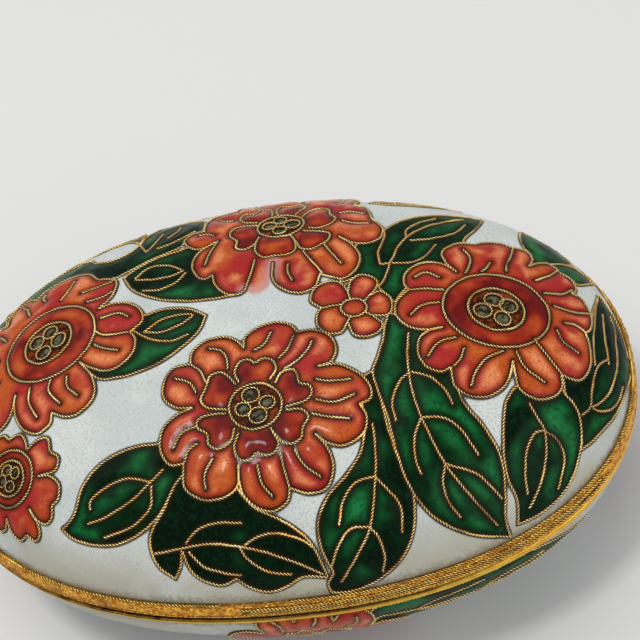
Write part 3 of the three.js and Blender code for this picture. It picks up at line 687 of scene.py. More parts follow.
def smooth_object(name, points, faces, fields):
    """A smooth mesh in the scene that keeps the value of each field at each point."""
    mesh = bpy.data.meshes.new(name)
    mesh.from_pydata(points.tolist(), [], faces)
    mesh.polygons.foreach_set("use_smooth", np.ones(len(faces), bool))
    for title, values in fields.items():
        mesh.attributes.new(title, "FLOAT", "POINT").data.foreach_set("value", values)
    mesh.update()
    return placed(name, mesh)


def enamel_shell(name, dome, design, grid, edge, foot=None):
    """One closed shell: the worked outer enamel, the flat edge and the plain lining inside."""
    columns, rows = grid
    share = edge_share(dome, edge)
    places = square_to_oval(columns, rows, share)
    kind, tone = cell_kinds(design, places)
    gap = gap_to(design["wire_tree"], places)
    lift = enamel_lift(design, places, kind, gap)
    for _ in range(SMOOTHINGS):
        lift = softened(lift.reshape(columns + 1, rows + 1)).ravel()
    rim_gap = np.hypot(places[:, 0], places[:, 1]) * (share / oval_share(places) - 1)
    outer = on_dome(dome, places, lift * np.clip(rim_gap / EDGE_FADE, 0, 1))
    if foot is not None:
        outer[:, 2] = np.maximum(outer[:, 2], foot * MM)
    index = np.arange(len(places)).reshape(columns + 1, rows + 1)
    quads = np.stack([index[:-1, :-1], index[1:, :-1], index[1:, 1:], index[:-1, 1:]], -1).reshape(-1, 4)
    loop = np.concatenate([index[:-1, 0], index[-1, :-1], index[:0:-1, -1], index[0, :0:-1]])
    unit = places[loop] / (share * np.array([HALF_LENGTH, HALF_WIDTH]))
    inner_points, inner_faces = lining(dome, edge, unit, loop.tolist(), len(outer))
    faces = quads.tolist() + inner_faces
    if dome["side"] < 0:
        faces = [face[::-1] for face in faces]
    bare_gap = np.full(len(places), FAR)
    if design["bare"]:
        bare_gap = gap_to(tree_of(np.vstack(design["bare"])), places)
    plain = np.ones(len(inner_points))
    fields = {"wire_gap": gap, "tone": tone, "rim_gap": rim_gap, "bare_gap": bare_gap}
    fields = {title: np.concatenate([values, plain]) for title, values in fields.items()}
    shell = smooth_object(name, np.vstack([outer, inner_points]), faces, fields)
    slots = np.full(len(faces), LINING)
    slots[:len(quads)] = cell_kinds(design, places[quads].mean(axis=1))[0]
    shell.data.polygons.foreach_set("material_index", slots)
    for material in ENAMELS:
        shell.data.materials.append(material)
    return shell


def material_with(name, **settings):
    """A material with plain values on its shader, and its node tree."""
    material = bpy.data.materials.new(name)
    material.use_nodes = True
    shader = material.node_tree.nodes["Principled BSDF"]
    for socket, value in settings.items():
        shader.inputs[socket.replace("_", " ")].default_value = value
    return material, material.node_tree, shader


def node(tree, kind, inputs, **settings):
    """A new node with its settings. Each input is a plain value or another node's socket."""
    made = tree.nodes.new(kind)
    for setting, value in settings.items():
        setattr(made, setting, value)
    for socket, value in inputs.items():
        if isinstance(value, bpy.types.NodeSocket):
            tree.links.new(value, made.inputs[socket])
        else:
            made.inputs[socket].default_value = value
    return made


def mix_by(tree, factor, *ends):
    """A colour mix. Each of its two ends is a plain colour or a socket."""
    mix = node(tree, "ShaderNodeMix", {"Factor": factor}, data_type="RGBA")
    slots = [s for s in mix.inputs if s.type == "RGBA"]
    for slot, end in zip(slots, ends):
        if isinstance(end, tuple):
            slot.default_value = (*end, 1)
        else:
            tree.links.new(end, slot)
    return [s for s in mix.outputs if s.type == "RGBA"][0]


def noise(tree, scale, detail=3.0, roughness=0.5):
    """Noise over the object's own coordinates, in waves per metre."""
    place = node(tree, "ShaderNodeTexCoord", {}).outputs["Object"]
    inputs = {"Vector": place, "Scale": scale, "Detail": detail, "Roughness": roughness}
    return node(tree, "ShaderNodeTexNoise", inputs).outputs["Fac"]


def attribute(tree, title):
    """A field that the mesh keeps at its points."""
    return node(tree, "ShaderNodeAttribute", {}, attribute_name=title).outputs["Fac"]


def ramp(tree, value, low, high, to_low=0.0, to_high=1.0):
    """Maps a value from one span to another, smoothly and held at both ends."""
    inputs = {"Value": value, "From Min": low, "From Max": high, "To Min": to_low, "To Max": to_high}
    return node(tree, "ShaderNodeMapRange", inputs, interpolation_type="SMOOTHSTEP").outputs["Result"]


def calculated(tree, operation, first, second):
    """One sum of two values, each a socket or a number."""
    return node(tree, "ShaderNodeMath", {0: first, 1: second}, operation=operation).outputs["Value"]


def bump(tree, shader, height, distance, strength):
    """Roughens a shader's surface by a height."""
    made = node(tree, "ShaderNodeBump", {"Height": height, "Distance": distance, "Strength": strength})
    tree.links.new(made.outputs["Normal"], shader.inputs["Normal"])


PITS = (4200, 2, 0.6)  # waves per metre, detail and roughness of the finest mottling
# dirt and painted shade in the enamel right beside each wire
WIRE_DIRT_AND_SHADE = (0.022, 0.010, 0.004)
PALE_CORAL = (0.50, 0.24, 0.21)  # where a petal has lost its wire and its colour runs out into the white


def fired_enamel(name, coat):
    """An enamel material, ready for its colour: its gloss is all in a thin clear coat."""
    return material_with(name, Roughness=0.5, Specular_IOR_Level=0.0, Coat_Weight=coat, Coat_IOR=1.18,
                         Coat_Roughness=0.13)


def finish_enamel(tree, shader, colour, grain):
    """Adds what all the enamels share: a dark line along the wires, partly dirt and partly painted shade
    beside the proud wires, and fine pits.
    """
    # painted shade with some dirt: the enamel is darkened right beside each wire
    beside_wire = ramp(tree, attribute(tree, "wire_gap"), 0.22, 0.46, 0.95, 0.0)
    tree.links.new(mix_by(tree, beside_wire, colour, WIRE_DIRT_AND_SHADE), shader.inputs["Base Color"])
    pits = calculated(tree, "MULTIPLY", ramp(tree, grain, 0.55, 0.75), -1.0)
    bump(tree, shader, pits, 0.00004, 0.6)


def white_enamel():
    """Greyish white ground, finely speckled, with tan stains and a brown crust towards the rim."""
    material, tree, shader = fired_enamel("white_enamel", 0.5)
    grain, fine, cloud = noise(tree, *PITS), noise(tree, 7000, 2, 0.6), noise(tree, 120, 3)
    edge, bare = attribute(tree, "rim_gap"), attribute(tree, "bare_gap")
    white = mix_by(tree, ramp(tree, cloud, 0.35, 0.65), (0.485, 0.52, 0.51), (0.58, 0.61, 0.585))
    white = mix_by(tree, ramp(tree, grain, 0.46, 0.70), white, (0.41, 0.43, 0.42))
    white = mix_by(tree, ramp(tree, fine, 0.64, 0.78, 0.0, 0.4), white, (0.16, 0.15, 0.12))
    stain = ramp(tree, noise(tree, 70, 3, 0.6), 0.32, 0.58)
    stained = calculated(tree, "MULTIPLY", stain, ramp(tree, edge, 1.0, 10.0, 1.0, 0.1))
    white = mix_by(tree, stained, white, (0.42, 0.40, 0.32))
    crust = calculated(tree, "ADD", ramp(tree, edge, 0.0, 2.6, 0.6, 0.0), noise(tree, 1900, 3, 0.7))
    white = mix_by(tree, ramp(tree, crust, 0.72, 1.12, 0.0, 0.8), white, (0.27, 0.22, 0.14))
    white = mix_by(tree, ramp(tree, bare, 0.0, 0.6, 1.0, 0.0), white, PALE_CORAL)
    finish_enamel(tree, shader, white, grain)
    return material


def green_enamel():
    """Deep translucent green, mostly near black, with brighter green patches painted as a highlight away
    from the wires where each cell swells, and painted shade along the wires.
    """
    material, tree, shader = fired_enamel("green_enamel", 0.6)
    gap, grain = attribute(tree, "wire_gap"), noise(tree, 1800, 3, 0.6)
    tone = calculated(tree, "MULTIPLY", attribute(tree, "tone"), 0.22)
    swirl = calculated(tree, "ADD", noise(tree, 180, 2, 0.5), tone)
    green = mix_by(tree, ramp(tree, swirl, 0.44, 0.72), (0.0010, 0.006, 0.0018), (0.004, 0.040, 0.010))
    # painted highlight: the green patches brighten away from the wires, where each cell swells
    patch_and_highlight = calculated(tree, "MULTIPLY", ramp(tree, swirl, 0.52, 0.84), ramp(tree, gap, 0.3, 1.7))
    green = mix_by(tree, patch_and_highlight, green, (0.010, 0.16, 0.040))
    green = mix_by(tree, ramp(tree, grain, 0.46, 0.66, 0.0, 0.6), green, (0.003, 0.022, 0.007))
    # painted shade: darker along the wires, where each cell dips
    green = mix_by(tree, ramp(tree, gap, 0.1, 1.0, 0.85, 0.0), green, (0.001, 0.007, 0.002))
    finish_enamel(tree, shader, green, noise(tree, *PITS))
    return material


def petal_enamel():
    """Coral red to orange, finely mottled, with pale orange patches painted as a highlight away from the
    wires and painted shade darkening it along the wires.
    """
    material, tree, shader = fired_enamel("petal_enamel", 1.0)
    gap, grain, bare = attribute(tree, "wire_gap"), noise(tree, *PITS), attribute(tree, "bare_gap")
    blotch, light = noise(tree, 170, 1), noise(tree, 260, 2)
    petal = mix_by(tree, ramp(tree, blotch, 0.40, 0.60), (0.35, 0.022, 0.019), (0.44, 0.080, 0.013))
    # painted highlight: pale orange patches away from the wires, where each cell swells
    pale_patch_and_highlight = calculated(tree, "MULTIPLY", ramp(tree, light, 0.42, 0.64), ramp(tree, gap, 0.4, 1.5))
    petal = mix_by(tree, pale_patch_and_highlight, petal, (0.68, 0.22, 0.085))
    # painted shade: darker along the wires
    petal = mix_by(tree, ramp(tree, gap, 0.1, 1.0, 0.9, 0.0), petal, (0.10, 0.006, 0.003))
    petal = mix_by(tree, ramp(tree, grain, 0.48, 0.70, 0.0, 0.6), petal, (0.22, 0.016, 0.008))
    petal = mix_by(tree, ramp(tree, bare, 0.0, 1.6, 1.0, 0.0), petal, PALE_CORAL)
    finish_enamel(tree, shader, petal, grain)
    return material


def heart_enamel():
    """Dark garnet red of the discs and hearts, with orange patches here and there, painted brighter away
    from the wires as a highlight, and painted shade along the wires.
    """
    material, tree, shader = fired_enamel("heart_enamel", 1.0)
    gap, streak = attribute(tree, "wire_gap"), noise(tree, 260, 2)
    heart = mix_by(tree, ramp(tree, streak, 0.36, 0.58), (0.12, 0.006, 0.005), (0.30, 0.024, 0.008))
    # painted highlight: the orange patches brighten away from the wires
    patch_and_highlight = calculated(tree, "MULTIPLY", ramp(tree, streak, 0.50, 0.68), ramp(tree, gap, 0.35, 1.4))
    heart = mix_by(tree, patch_and_highlight, heart, (0.42, 0.085, 0.016))
    # painted shade: darker along the wires
    heart = mix_by(tree, ramp(tree, gap, 0.1, 0.85, 0.85, 0.0), heart, (0.025, 0.002, 0.001))
    finish_enamel(tree, shader, heart, noise(tree, *PITS))
    return material


def boss_enamel(name, low, high):
    """Dull enamel in the middle of a flower, blotched from one colour to another."""
    material, tree, shader = fired_enamel(name, 0.4)
    blotch = mix_by(tree, ramp(tree, noise(tree, 1100, 3, 0.6), 0.40, 0.60), low, high)
    finish_enamel(tree, shader, blotch, noise(tree, 3000, 2, 0.6))
    return material


def lining_enamel():
    """Plain enamel inside: pale and a little uneven."""
    material, tree, shader = material_with("lining_enamel", Coat_Weight=0.3, Coat_Roughness=0.1)
    cloud, grain = noise(tree, 180, 3), noise(tree, 2600, 2)
    colour = mix_by(tree, ramp(tree, cloud, 0.35, 0.65), (0.30, 0.42, 0.43), (0.40, 0.51, 0.50))
    colour = mix_by(tree, ramp(tree, grain, 0.6, 0.75), colour, (0.16, 0.20, 0.20))
    tree.links.new(colour, shader.inputs["Base Color"])
    tree.links.new(ramp(tree, grain, 0.3, 0.7, 0.18, 0.4), shader.inputs["Roughness"])
    bump(tree, shader, cloud, 0.0002, 0.3)
    return material


ENAMELS = [  # one for each kind of cell, then the lining
    white_enamel(), green_enamel(), petal_enamel(), heart_enamel(),
    boss_enamel("boss_enamel", (0.020, 0.007, 0.004), (0.19, 0.032, 0.008)),
    boss_enamel("curl_enamel", (0.020, 0.012, 0.005), (0.11, 0.11, 0.07)), lining_enamel(),
]
lid_design = worked_out(LID_FLOWERS, LID_LEAVES, edge_share(LID_DOME, LID_EDGE))
lid_enamel = enamel_shell("lid_enamel", LID_DOME, lid_design, LID_GRID, LID_EDGE)
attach(lid_enamel, "root")
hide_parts("lid")

# Cloisonne wires of the lid
# Two gilt brass strands twisted into one wire, bent on edge and fused into the enamel,
# with the twist dark with dirt and painted shade. One sweep along every run, turned as it goes.

WIRE_WIDTH = 0.35
CURL_WIDTH = 0.28
WIRE_PITCH = 0.86
STEPS_PER_PITCH = 8
SECTION_SIDES = 8
WAIST = 0.5
WAVER = 0.25
WAVES_PER_METRE = 700
THINNEST, THICKENING = 0.68, 0.64
TWIST_SEED = 3.0
WIRE_SEAT = 0.05
CURL_SEAT = 0.16


def twisted_wire_tree(material):
    """Geometry nodes: a two-lobed section swept along curves and turned by their length."""
    tree = bpy.data.node_groups.new("twisted_wire", "GeometryNodeTree")
    tree.interface.new_socket("Geometry", in_out="INPUT", socket_type="NodeSocketGeometry")
    sizes = {"Wire width": WIRE_WIDTH * MM, "Twist pitch": WIRE_PITCH * MM, "Waist": WAIST,
             "Waver": WAVER * MM, "Seed": TWIST_SEED}
    for title, value in sizes.items():
        socket = tree.interface.new_socket(title, in_out="INPUT", socket_type="NodeSocketFloat")
        socket.default_value = value
    tree.interface.new_socket("Geometry", in_out="OUTPUT", socket_type="NodeSocketGeometry")
    given = node(tree, "NodeGroupInput", {}).outputs
    width, pitch, waist = given["Wire width"], given["Twist pitch"], given["Waist"]

    step = calculated(tree, "DIVIDE", pitch, STEPS_PER_PITCH)
    even = node(tree, "GeometryNodeResampleCurve", {"Curve": given["Geometry"], "Length": step},
                mode="LENGTH")
    uneven = node(tree, "ShaderNodeTexNoise", {"Scale": WAVES_PER_METRE, "W": given["Seed"]},
                  noise_dimensions="4D")
    centred = node(tree, "ShaderNodeVectorMath", {0: uneven.outputs["Color"], 1: (0.5, 0.5, 0.5)},
                   operation="SUBTRACT")
    swerve = node(tree, "ShaderNodeVectorMath", {0: centred.outputs[0], "Scale": given["Waver"]},
                  operation="SCALE")
    wavy = node(tree, "GeometryNodeSetPosition",
                {"Geometry": even.outputs["Curve"], "Offset": swerve.outputs[0]})
    along = node(tree, "GeometryNodeSplineParameter", {}).outputs["Length"]
    turn = calculated(tree, "MULTIPLY", calculated(tree, "DIVIDE", along, pitch), 2 * math.pi)
    turned_run = node(tree, "GeometryNodeSetCurveTilt", {"Curve": wavy.outputs["Geometry"], "Tilt": turn})

    circle = node(tree, "GeometryNodeCurvePrimitiveCircle", {"Resolution": SECTION_SIDES, "Radius": 1.0})
    position = node(tree, "GeometryNodeInputPosition", {}).outputs[0]
    x = node(tree, "ShaderNodeSeparateXYZ", {0: position}).outputs["X"]
    lobe = calculated(tree, "MULTIPLY", x, x)
    span = calculated(tree, "SUBTRACT", 1.0, waist)
    girth = calculated(tree, "ADD", waist, calculated(tree, "MULTIPLY", lobe, span))
    size = calculated(tree, "MULTIPLY", girth, calculated(tree, "DIVIDE", width, 2.0))
    crested = node(tree, "GeometryNodeStoreNamedAttribute",
                   {"Geometry": circle.outputs["Curve"], "Name": "crest", "Value": lobe},
                   data_type="FLOAT", domain="POINT")
    sized = node(tree, "ShaderNodeVectorMath", {0: position, "Scale": size}, operation="SCALE")
    profile = node(tree, "GeometryNodeSetPosition",
                   {"Geometry": crested.outputs["Geometry"], "Position": sized.outputs[0]})

    swell = calculated(tree, "MULTIPLY", uneven.outputs["Fac"], THICKENING)
    sweep = node(tree, "GeometryNodeCurveToMesh",
                 {"Curve": turned_run.outputs["Curve"], "Profile Curve": profile.outputs["Geometry"],
                  "Scale": calculated(tree, "ADD", THINNEST, swell), "Fill Caps": True})
    smooth = node(tree, "GeometryNodeSetShadeSmooth", {"Geometry": sweep.outputs["Mesh"]})
    realized = node(tree, "GeometryNodeRealizeInstances", {"Geometry": smooth.outputs["Geometry"]})
    painted = node(tree, "GeometryNodeSetMaterial",
                   {"Geometry": realized.outputs["Geometry"], "Material": material})
    node(tree, "NodeGroupOutput", {"Geometry": painted.outputs["Geometry"]})
    return tree


def gilt_wire_material(name, groove_dirt_and_shade, dull, bright):
    """Old gilding on twisted wire: bright on the crests, brown to black down in the twist, where dirt and
    painted shade lie.
    In places the twist is filled with gilding, and in others the gold is worn or dirty."""
    material, tree, shader = material_with(name, Metallic=0.55)
    worn, dirt, filled = noise(tree, 900, 2, 0.6), noise(tree, 150, 3, 0.6), noise(tree, 190, 1)
    crest = calculated(tree, "ADD", attribute(tree, "crest"), ramp(tree, filled, 0.58, 0.70, 0.0, 0.45))
    gold = mix_by(tree, ramp(tree, worn, 0.34, 0.56), dull, bright)
    gold = mix_by(tree, ramp(tree, dirt, 0.58, 0.70, 0.0, 0.7), gold, (0.22, 0.12, 0.06))
    # dirt and painted shade down in the twist, gold on the crests
    tree.links.new(mix_by(tree, ramp(tree, crest, 0.28, 0.80), groove_dirt_and_shade, gold), shader.inputs["Base Color"])
    tree.links.new(ramp(tree, worn, 0.3, 0.7, 0.40, 0.22), shader.inputs["Roughness"])
    return material


def twisted_wires(name, runs, tree, width, pitch):
    """One mesh of all the wires along runs of points in metres."""
    curve = bpy.data.curves.new(name + "_runs", "CURVE")
    curve.dimensions = "3D"
    for points in runs:
        closed = np.linalg.norm(points[0] - points[-1]) < 0.5 * width * MM
        points = points[:-1] if closed else points
        spline = curve.splines.new("POLY")
        spline.points.add(len(points) - 1)
        spline.points.foreach_set("co", np.column_stack([points, np.ones(len(points))]).ravel())
        spline.use_cyclic_u = bool(closed)
    source = placed(name + "_runs", curve)
    modifier = source.modifiers.new("twist", "NODES")
    modifier.node_group = tree
    sockets = {s.name: s.identifier for s in tree.interface.items_tree if s.in_out == "INPUT"}
    modifier[sockets["Wire width"]] = width * MM
    modifier[sockets["Twist pitch"]] = pitch * MM
    evaluated = source.evaluated_get(bpy.context.evaluated_depsgraph_get())
    mesh = bpy.data.meshes.new_from_object(evaluated)
    mesh.name = name
    source.modifiers.remove(modifier)
    bpy.data.objects.remove(source)
    return placed(name, mesh)


def wire_runs(dome, design, group):
    """The runs of one group of wires, seated on the enamel."""
    seat = CURL_SEAT if group == "curl" else WIRE_SEAT
    runs = [run for title, run in design["wires"] if title == group]
    return [on_dome(dome, run, flower_rise(design, run) + seat) for run in runs]


# colours: the twist's dirt and painted shade, then dull and bright gold
WIRE_TREE = twisted_wire_tree(gilt_wire_material("gilt_wire", (0.065, 0.026, 0.004), (1.0, 0.55, 0.11),
                                                 (1.0, 0.77, 0.33)))
for group, width in (("petal", WIRE_WIDTH), ("leaf", WIRE_WIDTH), ("curl", CURL_WIDTH)):
    wires = twisted_wires(f"lid_{group}_wires", wire_runs(LID_DOME, lid_design, group), WIRE_TREE,
                          width, WIRE_PITCH)
    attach(wires, "root")

# Rim of the lid
# A strip of gilt brass soldered round the mouth, crumpled and dirty on its face, with a smooth bead
# below. Thin twisted wires are laid along it round the right end, and one along the enamel's edge.

STRIP_STEPS = 900
STRIP_INSIDE = -WALL - 0.4
SEAM_GAP = 0.95
GAP_TURN = math.radians(222)
# painted shade: the rims darken down in the seam as it opens
SEAM_SHADE = 2.2
CRUMPLE = 0.1
WIRED_TURN, WIRED_SPREAD = math.radians(297), math.radians(32)
# how much darker the rough strip is between the wires laid on it
WIRED_DARKENING = 0.75
# brown of the rims' dirt and of their painted shade
BROWN_DIRT_AND_SHADE = (0.05, 0.025, 0.012)


def seam_gap(turn):
    """How far the two rims stand apart: the lid sits a little open towards its front left."""
    return SEAM_GAP * ((1 + np.cos(turn - GAP_TURN)) / 2) ** 3


def oval_points(grow, z, steps):
    """A level ring about the oval, grown outwards by a distance."""
    turn = np.linspace(0, 2 * math.pi, steps, endpoint=False)
    x = HALF_LENGTH * np.sign(np.cos(turn)) * np.abs(np.cos(turn)) ** (2 / OVAL_POWER)
    y = HALF_WIDTH * np.sign(np.sin(turn)) * np.abs(np.sin(turn)) ** (2 / OVAL_POWER)
    ring = np.stack([x, y], 1)
    tangent = np.roll(ring, -1, axis=0) - np.roll(ring, 1, axis=0)
    outward = np.stack([tangent[:, 1], -tangent[:, 0]], 1)
    outward /= np.linalg.norm(outward, axis=1)[:, None]
    return np.column_stack([ring + outward * np.reshape(grow, (-1, 1)), np.broadcast_to(z, steps)])


def swept_rim(name, profile, steps):
    """A closed band round the oval. Each ring of the profile has its outward growth, its height,
    the share of the seam's gap that moves it, its roughness and its dirt and painted shade. Painted
    shade deepens in an open seam, and the rough strip is darker between the wires laid on it."""
    chance = np.random.default_rng(5)
    turn = np.linspace(0, 2 * math.pi, steps, endpoint=False)
    between_wires = np.where(np.cos(turn - WIRED_TURN) > math.cos(WIRED_SPREAD), WIRED_DARKENING, 0.0)
    rings, grime_and_shade = [], []
    for grow, z, parting, rough, dirt in profile:
        crumple = rough * chance.uniform(-1, 1, steps)
        rings.append(oval_points(grow + crumple, SEAM_Z + z + parting * seam_gap(turn), steps))
        # each ring's dirt and painted shade, with painted shade deepening as the seam opens
        darkening = dirt + SEAM_SHADE * abs(parting) * seam_gap(turn)
        grime_and_shade.append(np.clip(darkening + (between_wires if rough == CRUMPLE else 0), 0, 1))
    faces = []
    for k in range(len(profile)):
        upper, lower = k * steps, (k + 1) % len(profile) * steps
        for i in range(steps):
            j = (i + 1) % steps
            faces.append((upper + i, lower + i, lower + j, upper + j))
    # the field named dirt holds the dirt and the painted shade together
    return smooth_object(name, np.concatenate(rings) * MM, faces, {"dirt": np.concatenate(grime_and_shade)})


def rough_gilt_material():
    """Gilding on the rough strip: yellow gold on the high places, brown dirt in the low ones, and brown
    dirt and painted shade where the rim's field darkens it.
    """
    material, tree, shader = material_with("rough_gilt", Metallic=0.85)
    grain, patch = noise(tree, 2200, 3, 0.65), noise(tree, 330, 3, 0.6)
    gold = mix_by(tree, ramp(tree, grain, 0.40, 0.58), (0.50, 0.17, 0.012), (1.0, 0.52, 0.06))
    colour = mix_by(tree, ramp(tree, patch, 0.56, 0.72, 0.0, 0.7), gold, (0.26, 0.09, 0.015))
    # the rim's dirt and painted shade
    colour = mix_by(tree, attribute(tree, "dirt"), colour, BROWN_DIRT_AND_SHADE)
    tree.links.new(colour, shader.inputs["Base Color"])
    tree.links.new(ramp(tree, grain, 0.3, 0.7, 0.46, 0.22), shader.inputs["Roughness"])
    bump(tree, shader, grain, 0.0004, 1.0)
    return material


# The last number of each ring darkens it: along the top edge, and as painted shade in the step above the
# bead and under the rim by the seam.
lid_rim = swept_rim("lid_rim_strip", [
    (0.0, 2.38, 0.0, 0.0, 0.6), (0.36, 2.3, 0.0, 0.02, 0.3), (0.5, 2.1, 0.0, CRUMPLE, 0.0),
    (0.52, 1.8, 0.0, CRUMPLE, 0.0), (0.56, 1.5, 0.0, CRUMPLE, 0.0), (0.57, 1.2, 0.0, CRUMPLE, 0.0),
    (0.6, 0.95, 0.0, CRUMPLE, 0.0), (0.56, 0.8, 0.0, 0.02, 0.2), (0.5, 0.72, 0.0, 0.0, 0.7),
    (0.62, 0.62, 0.0, 0.0, 0.1), (0.69, 0.46, 0.2, 0.0, 0.0), (0.66, 0.3, 0.3, 0.0, 0.2),
    (0.5, 0.14, 0.35, 0.0, 0.6), (0.3, 0.06, 0.25, 0.0, 0.9), (0.0, 0.04, 0.25, 0.0, 1.0),
    (STRIP_INSIDE, 0.04, 0.0, 0.0, 0.6), (STRIP_INSIDE, 2.38, 0.0, 0.0, 0.3),
], STRIP_STEPS)
lid_rim.data.materials.append(rough_gilt_material())
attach(lid_rim, "root")
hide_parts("lid_rim")

RIM_WIRE_WIDTH = 0.38
RIM_WIRE_PITCH = 0.9
RIM_WIRE_STEPS = 2400
RIM_WIRES = (  # outward growth, height, and the turns in degrees where each wire starts and ends
    (0.14, 2.5, 271, 622), (0.6, 2.02, 265, 328), (0.64, 1.6, 266, 321), (0.67, 1.16, 265, 331),
)
# colours: the twist's dirt and painted shade, then dull and bright gold
RIM_WIRE_TREE = twisted_wire_tree(gilt_wire_material("rim_wire", (0.09, 0.030, 0.003), (0.72, 0.33, 0.035),
                                                     (1.0, 0.67, 0.14)))
rim_runs = []
for grow, z, first, last in RIM_WIRES:
    ring = np.roll(oval_points(grow, SEAM_Z + z, RIM_WIRE_STEPS), -RIM_WIRE_STEPS * first // 360, axis=0)
    rim_runs.append(ring[: RIM_WIRE_STEPS * (last - first) // 360] * MM)
rim_wires = twisted_wires("lid_rim_wires", rim_runs, RIM_WIRE_TREE, RIM_WIRE_WIDTH, RIM_WIRE_PITCH)
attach(rim_wires, "root")

# Enamel and wires of the base
# The bowl under the seam is worked like the lid. Only a sliver of it shows in the photograph,
# so the flowers and leaves here are even, generic ones in keeping, round a plain flat foot.

BASE_DOME = {"rise": 20.0, "power": 2.4, "side": -1}
BASE_EDGE = SEAM_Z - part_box("base")[1].z / MM
BASE_GRID = (264, 184)
add_unrolled_lengths(BASE_DOME)
BASE_FLOWERS = []
for side in (1, -1):
    BASE_FLOWERS.append(simple_flower((2.5 * side, -28.0 * side), 12.5, 8, True))
    BASE_FLOWERS.append(simple_flower((42.6 * side, 3.6 * side), 10.8, 20, False))
BASE_LEAVES = [
    simple_leaf((8.0, -35.0), (42.5, -19.5), 12.0, -0.05),
    simple_leaf((-14.0, -28.0), (-36.0, -13.0), 8.0, 0.05),
    simple_leaf((-9.0, 35.0), (-38.0, 24.0), 11.0, -0.04),
    simple_leaf((16.0, 33.0), (42.0, 20.0), 10.0, 0.05),
    simple_leaf((30.0, -10.0), (16.0, -12.0), 6.0, 0.1),
    simple_leaf((-30.0, 10.0), (-16.0, 12.0), 6.0, 0.1),
]
base_design = worked_out(BASE_FLOWERS, BASE_LEAVES, edge_share(BASE_DOME, BASE_EDGE))
base_enamel = enamel_shell("base_enamel", BASE_DOME, base_design, BASE_GRID, BASE_EDGE, foot=0.0)
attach(base_enamel, "root")
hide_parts("base")
base_runs = wire_runs(BASE_DOME, base_design, "petal") + wire_runs(BASE_DOME, base_design, "leaf")
base_wires = twisted_wires("base_wires", base_runs, WIRE_TREE, WIRE_WIDTH, WIRE_PITCH)
curl_runs = wire_runs(BASE_DOME, base_design, "curl")
base_curls = twisted_wires("base_curl_wires", curl_runs, WIRE_TREE, CURL_WIDTH, WIRE_PITCH)
for wires in (base_wires, base_curls):
    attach(wires, "root")

# Rim of the base
# A smooth, polished gilt brass band under the seam, with a fine twisted wire below it. The same strip
# stands up inside as a collar that the lid drops over.

COLLAR_OUTSIDE = STRIP_INSIDE - 0.35
COLLAR_INSIDE = COLLAR_OUTSIDE - 0.8
COLLAR_ROUNDING = 0.25
BAND_STEPS = 420
BAND_WIRE_WIDTH = 0.36
BAND_WIRE_GROWTH, BAND_WIRE_DROP = 0.18, 1.56


def polished_gilt_material():
    """Polished gilding, rubbed bright, with brown dirt and painted shade along its edges and down in the
    seam.
    """
    material, tree, shader = material_with("polished_gilt", Metallic=1.0)
    wear = noise(tree, 500, 3, 0.6)
    gold = mix_by(tree, ramp(tree, wear, 0.35, 0.65), (0.90, 0.46, 0.035), (1.0, 0.63, 0.08))
    # the rim's dirt and painted shade, a little less where the gold is rubbed
    dirt = calculated(tree, "MULTIPLY", attribute(tree, "dirt"), ramp(tree, wear, 0.3, 0.6, 1.0, 0.8))
    tree.links.new(mix_by(tree, dirt, gold, BROWN_DIRT_AND_SHADE), shader.inputs["Base Color"])
    tree.links.new(ramp(tree, wear, 0.3, 0.7, 0.2, 0.34), shader.inputs["Roughness"])
    return material


# The last number of each ring darkens it: painted shade down in the seam and under the band, and a little
# in the groove across it.
base_rim = swept_rim("base_rim_band", [
    (0.0, -0.08, -0.75, 0.0, 1.0), (0.26, -0.1, -0.75, 0.0, 0.9), (0.44, -0.18, -0.75, 0.0, 0.3),
    (0.53, -0.34, -0.6, 0.0, 0.0), (0.53, -0.55, -0.4, 0.0, 0.0), (0.48, -0.72, -0.3, 0.0, 0.4),
    (0.54, -0.86, -0.2, 0.0, 0.0), (0.55, -1.05, -0.1, 0.0, 0.0), (0.48, -1.24, 0.0, 0.0, 0.1),
    (0.34, -1.38, 0.0, 0.0, 0.6), (0.1, -1.45, 0.0, 0.0, 1.0), (-0.2, -1.46, 0.0, 0.0, 1.0),
    (COLLAR_INSIDE, -1.46, 0.0, 0.0, 0.3), (COLLAR_INSIDE, 2.9, 0.0, 0.0, 0.0),
    (COLLAR_INSIDE + COLLAR_ROUNDING, 3.0, 0.0, 0.0, 0.0),
    (COLLAR_OUTSIDE - COLLAR_ROUNDING, 3.0, 0.0, 0.0, 0.0),
    (COLLAR_OUTSIDE, 2.9, 0.0, 0.0, 0.0), (COLLAR_OUTSIDE, -0.06, -0.75, 0.0, 0.9),
], BAND_STEPS)
base_rim.data.materials.append(polished_gilt_material())
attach(base_rim, "root")
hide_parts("base_rim")
band_run = oval_points(BAND_WIRE_GROWTH, SEAM_Z - BAND_WIRE_DROP, RIM_WIRE_STEPS) * MM
band_wire = twisted_wires("base_rim_wire", [band_run], RIM_WIRE_TREE, BAND_WIRE_WIDTH, RIM_WIRE_PITCH)
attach(band_wire, "root")

# Floor, light and camera
# A plain pale floor under the box and a dim room all round. One large soft light stands above at the
# back left, a small one above the middle gives the glints, and a soft one fills in from the right.

FLOOR_HALF = 1.5
corners = [(x * FLOOR_HALF, y * FLOOR_HALF, 0) for x, y in ((-1, -1), (1, -1), (1, 1), (-1, 1))]
floor_mesh = bpy.data.meshes.new("floor")
floor_mesh.from_pydata(corners, [], [(0, 1, 2, 3)])
floor = placed("floor", floor_mesh)
floor_material, _, _ = material_with("pale_floor", Base_Color=(0.665, 0.66, 0.645, 1), Roughness=0.8)
floor_mesh.materials.append(floor_material)

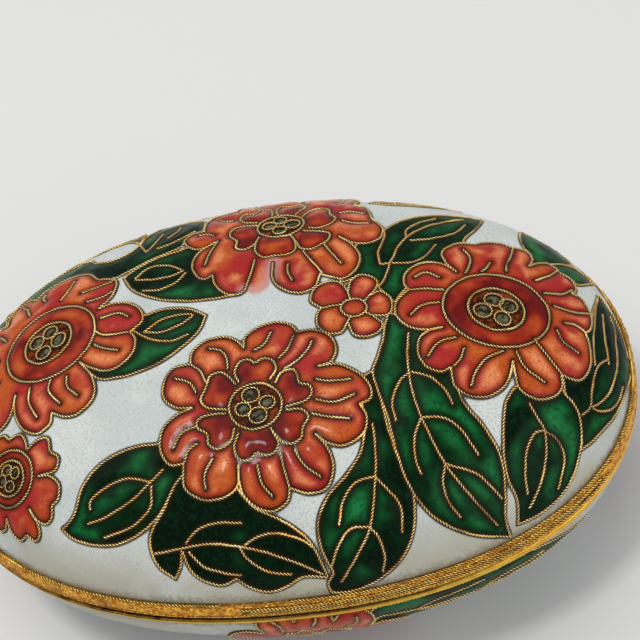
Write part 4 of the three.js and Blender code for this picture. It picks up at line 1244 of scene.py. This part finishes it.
world = bpy.data.worlds.new("soft_room")
world.use_nodes = True
world.node_tree.nodes["Background"].inputs["Color"].default_value = (0.90, 0.95, 1.0, 1)
world.node_tree.nodes["Background"].inputs["Strength"].default_value = 0.50
bpy.context.scene.world = world


def soft_light(name, place, size, power, colour):
    """A square soft light that faces the box."""
    light = bpy.data.lights.new(name, "AREA")
    light.shape, light.size, light.energy, light.color = "SQUARE", size, power, colour
    lamp = placed(name, light)
    lamp.location = place
    lamp.rotation_euler = (Vector((0, 0, SEAM_Z * MM)) - Vector(place)).to_track_quat("-Z", "Y").to_euler()


soft_light("window_light", (-0.20, 0.12, 0.62), 0.8, 2.3, (1.0, 0.99, 0.97))
soft_light("fill_light", (-0.11, -0.09, 0.60), 0.09, 1.1, (1.0, 0.98, 0.96))
soft_light("bounce_light", (0.55, -0.34, 0.30), 0.7, 1.7, (1.0, 0.98, 0.96))

IMAGE_SIDE = 640
FOCAL_PIXELS = 1505.48
SENSOR_WIDTH = 36
CAMERA_ELEVATION = math.radians(50.082)
CAMERA_AZIMUTH = math.radians(10.968)
CAMERA_ROLL = math.radians(-14.864)
CAMERA_DISTANCE = 207.356
CAMERA_AIM = Vector((4.738, 13.752, SEAM_Z))
back = Vector((math.sin(CAMERA_AZIMUTH) * math.cos(CAMERA_ELEVATION),
               -math.cos(CAMERA_AZIMUTH) * math.cos(CAMERA_ELEVATION), math.sin(CAMERA_ELEVATION)))
level_right = (-back).cross(Vector((0, 0, 1))).normalized()
level_up = level_right.cross(-back)
right = level_right * math.cos(CAMERA_ROLL) + level_up * math.sin(CAMERA_ROLL)
up = level_up * math.cos(CAMERA_ROLL) - level_right * math.sin(CAMERA_ROLL)
camera_data = bpy.data.cameras.new("camera")
camera_data.sensor_width = SENSOR_WIDTH
camera_data.lens = SENSOR_WIDTH * FOCAL_PIXELS / IMAGE_SIDE
camera_data.clip_start = 0.01
camera = placed("camera", camera_data)
turned = Matrix((right, up, back)).transposed().to_4x4()
turned.translation = (CAMERA_AIM + back * CAMERA_DISTANCE) * MM
camera.matrix_world = turned
bpy.context.scene.camera = camera
bpy.context.scene.view_settings.view_transform = "Standard"
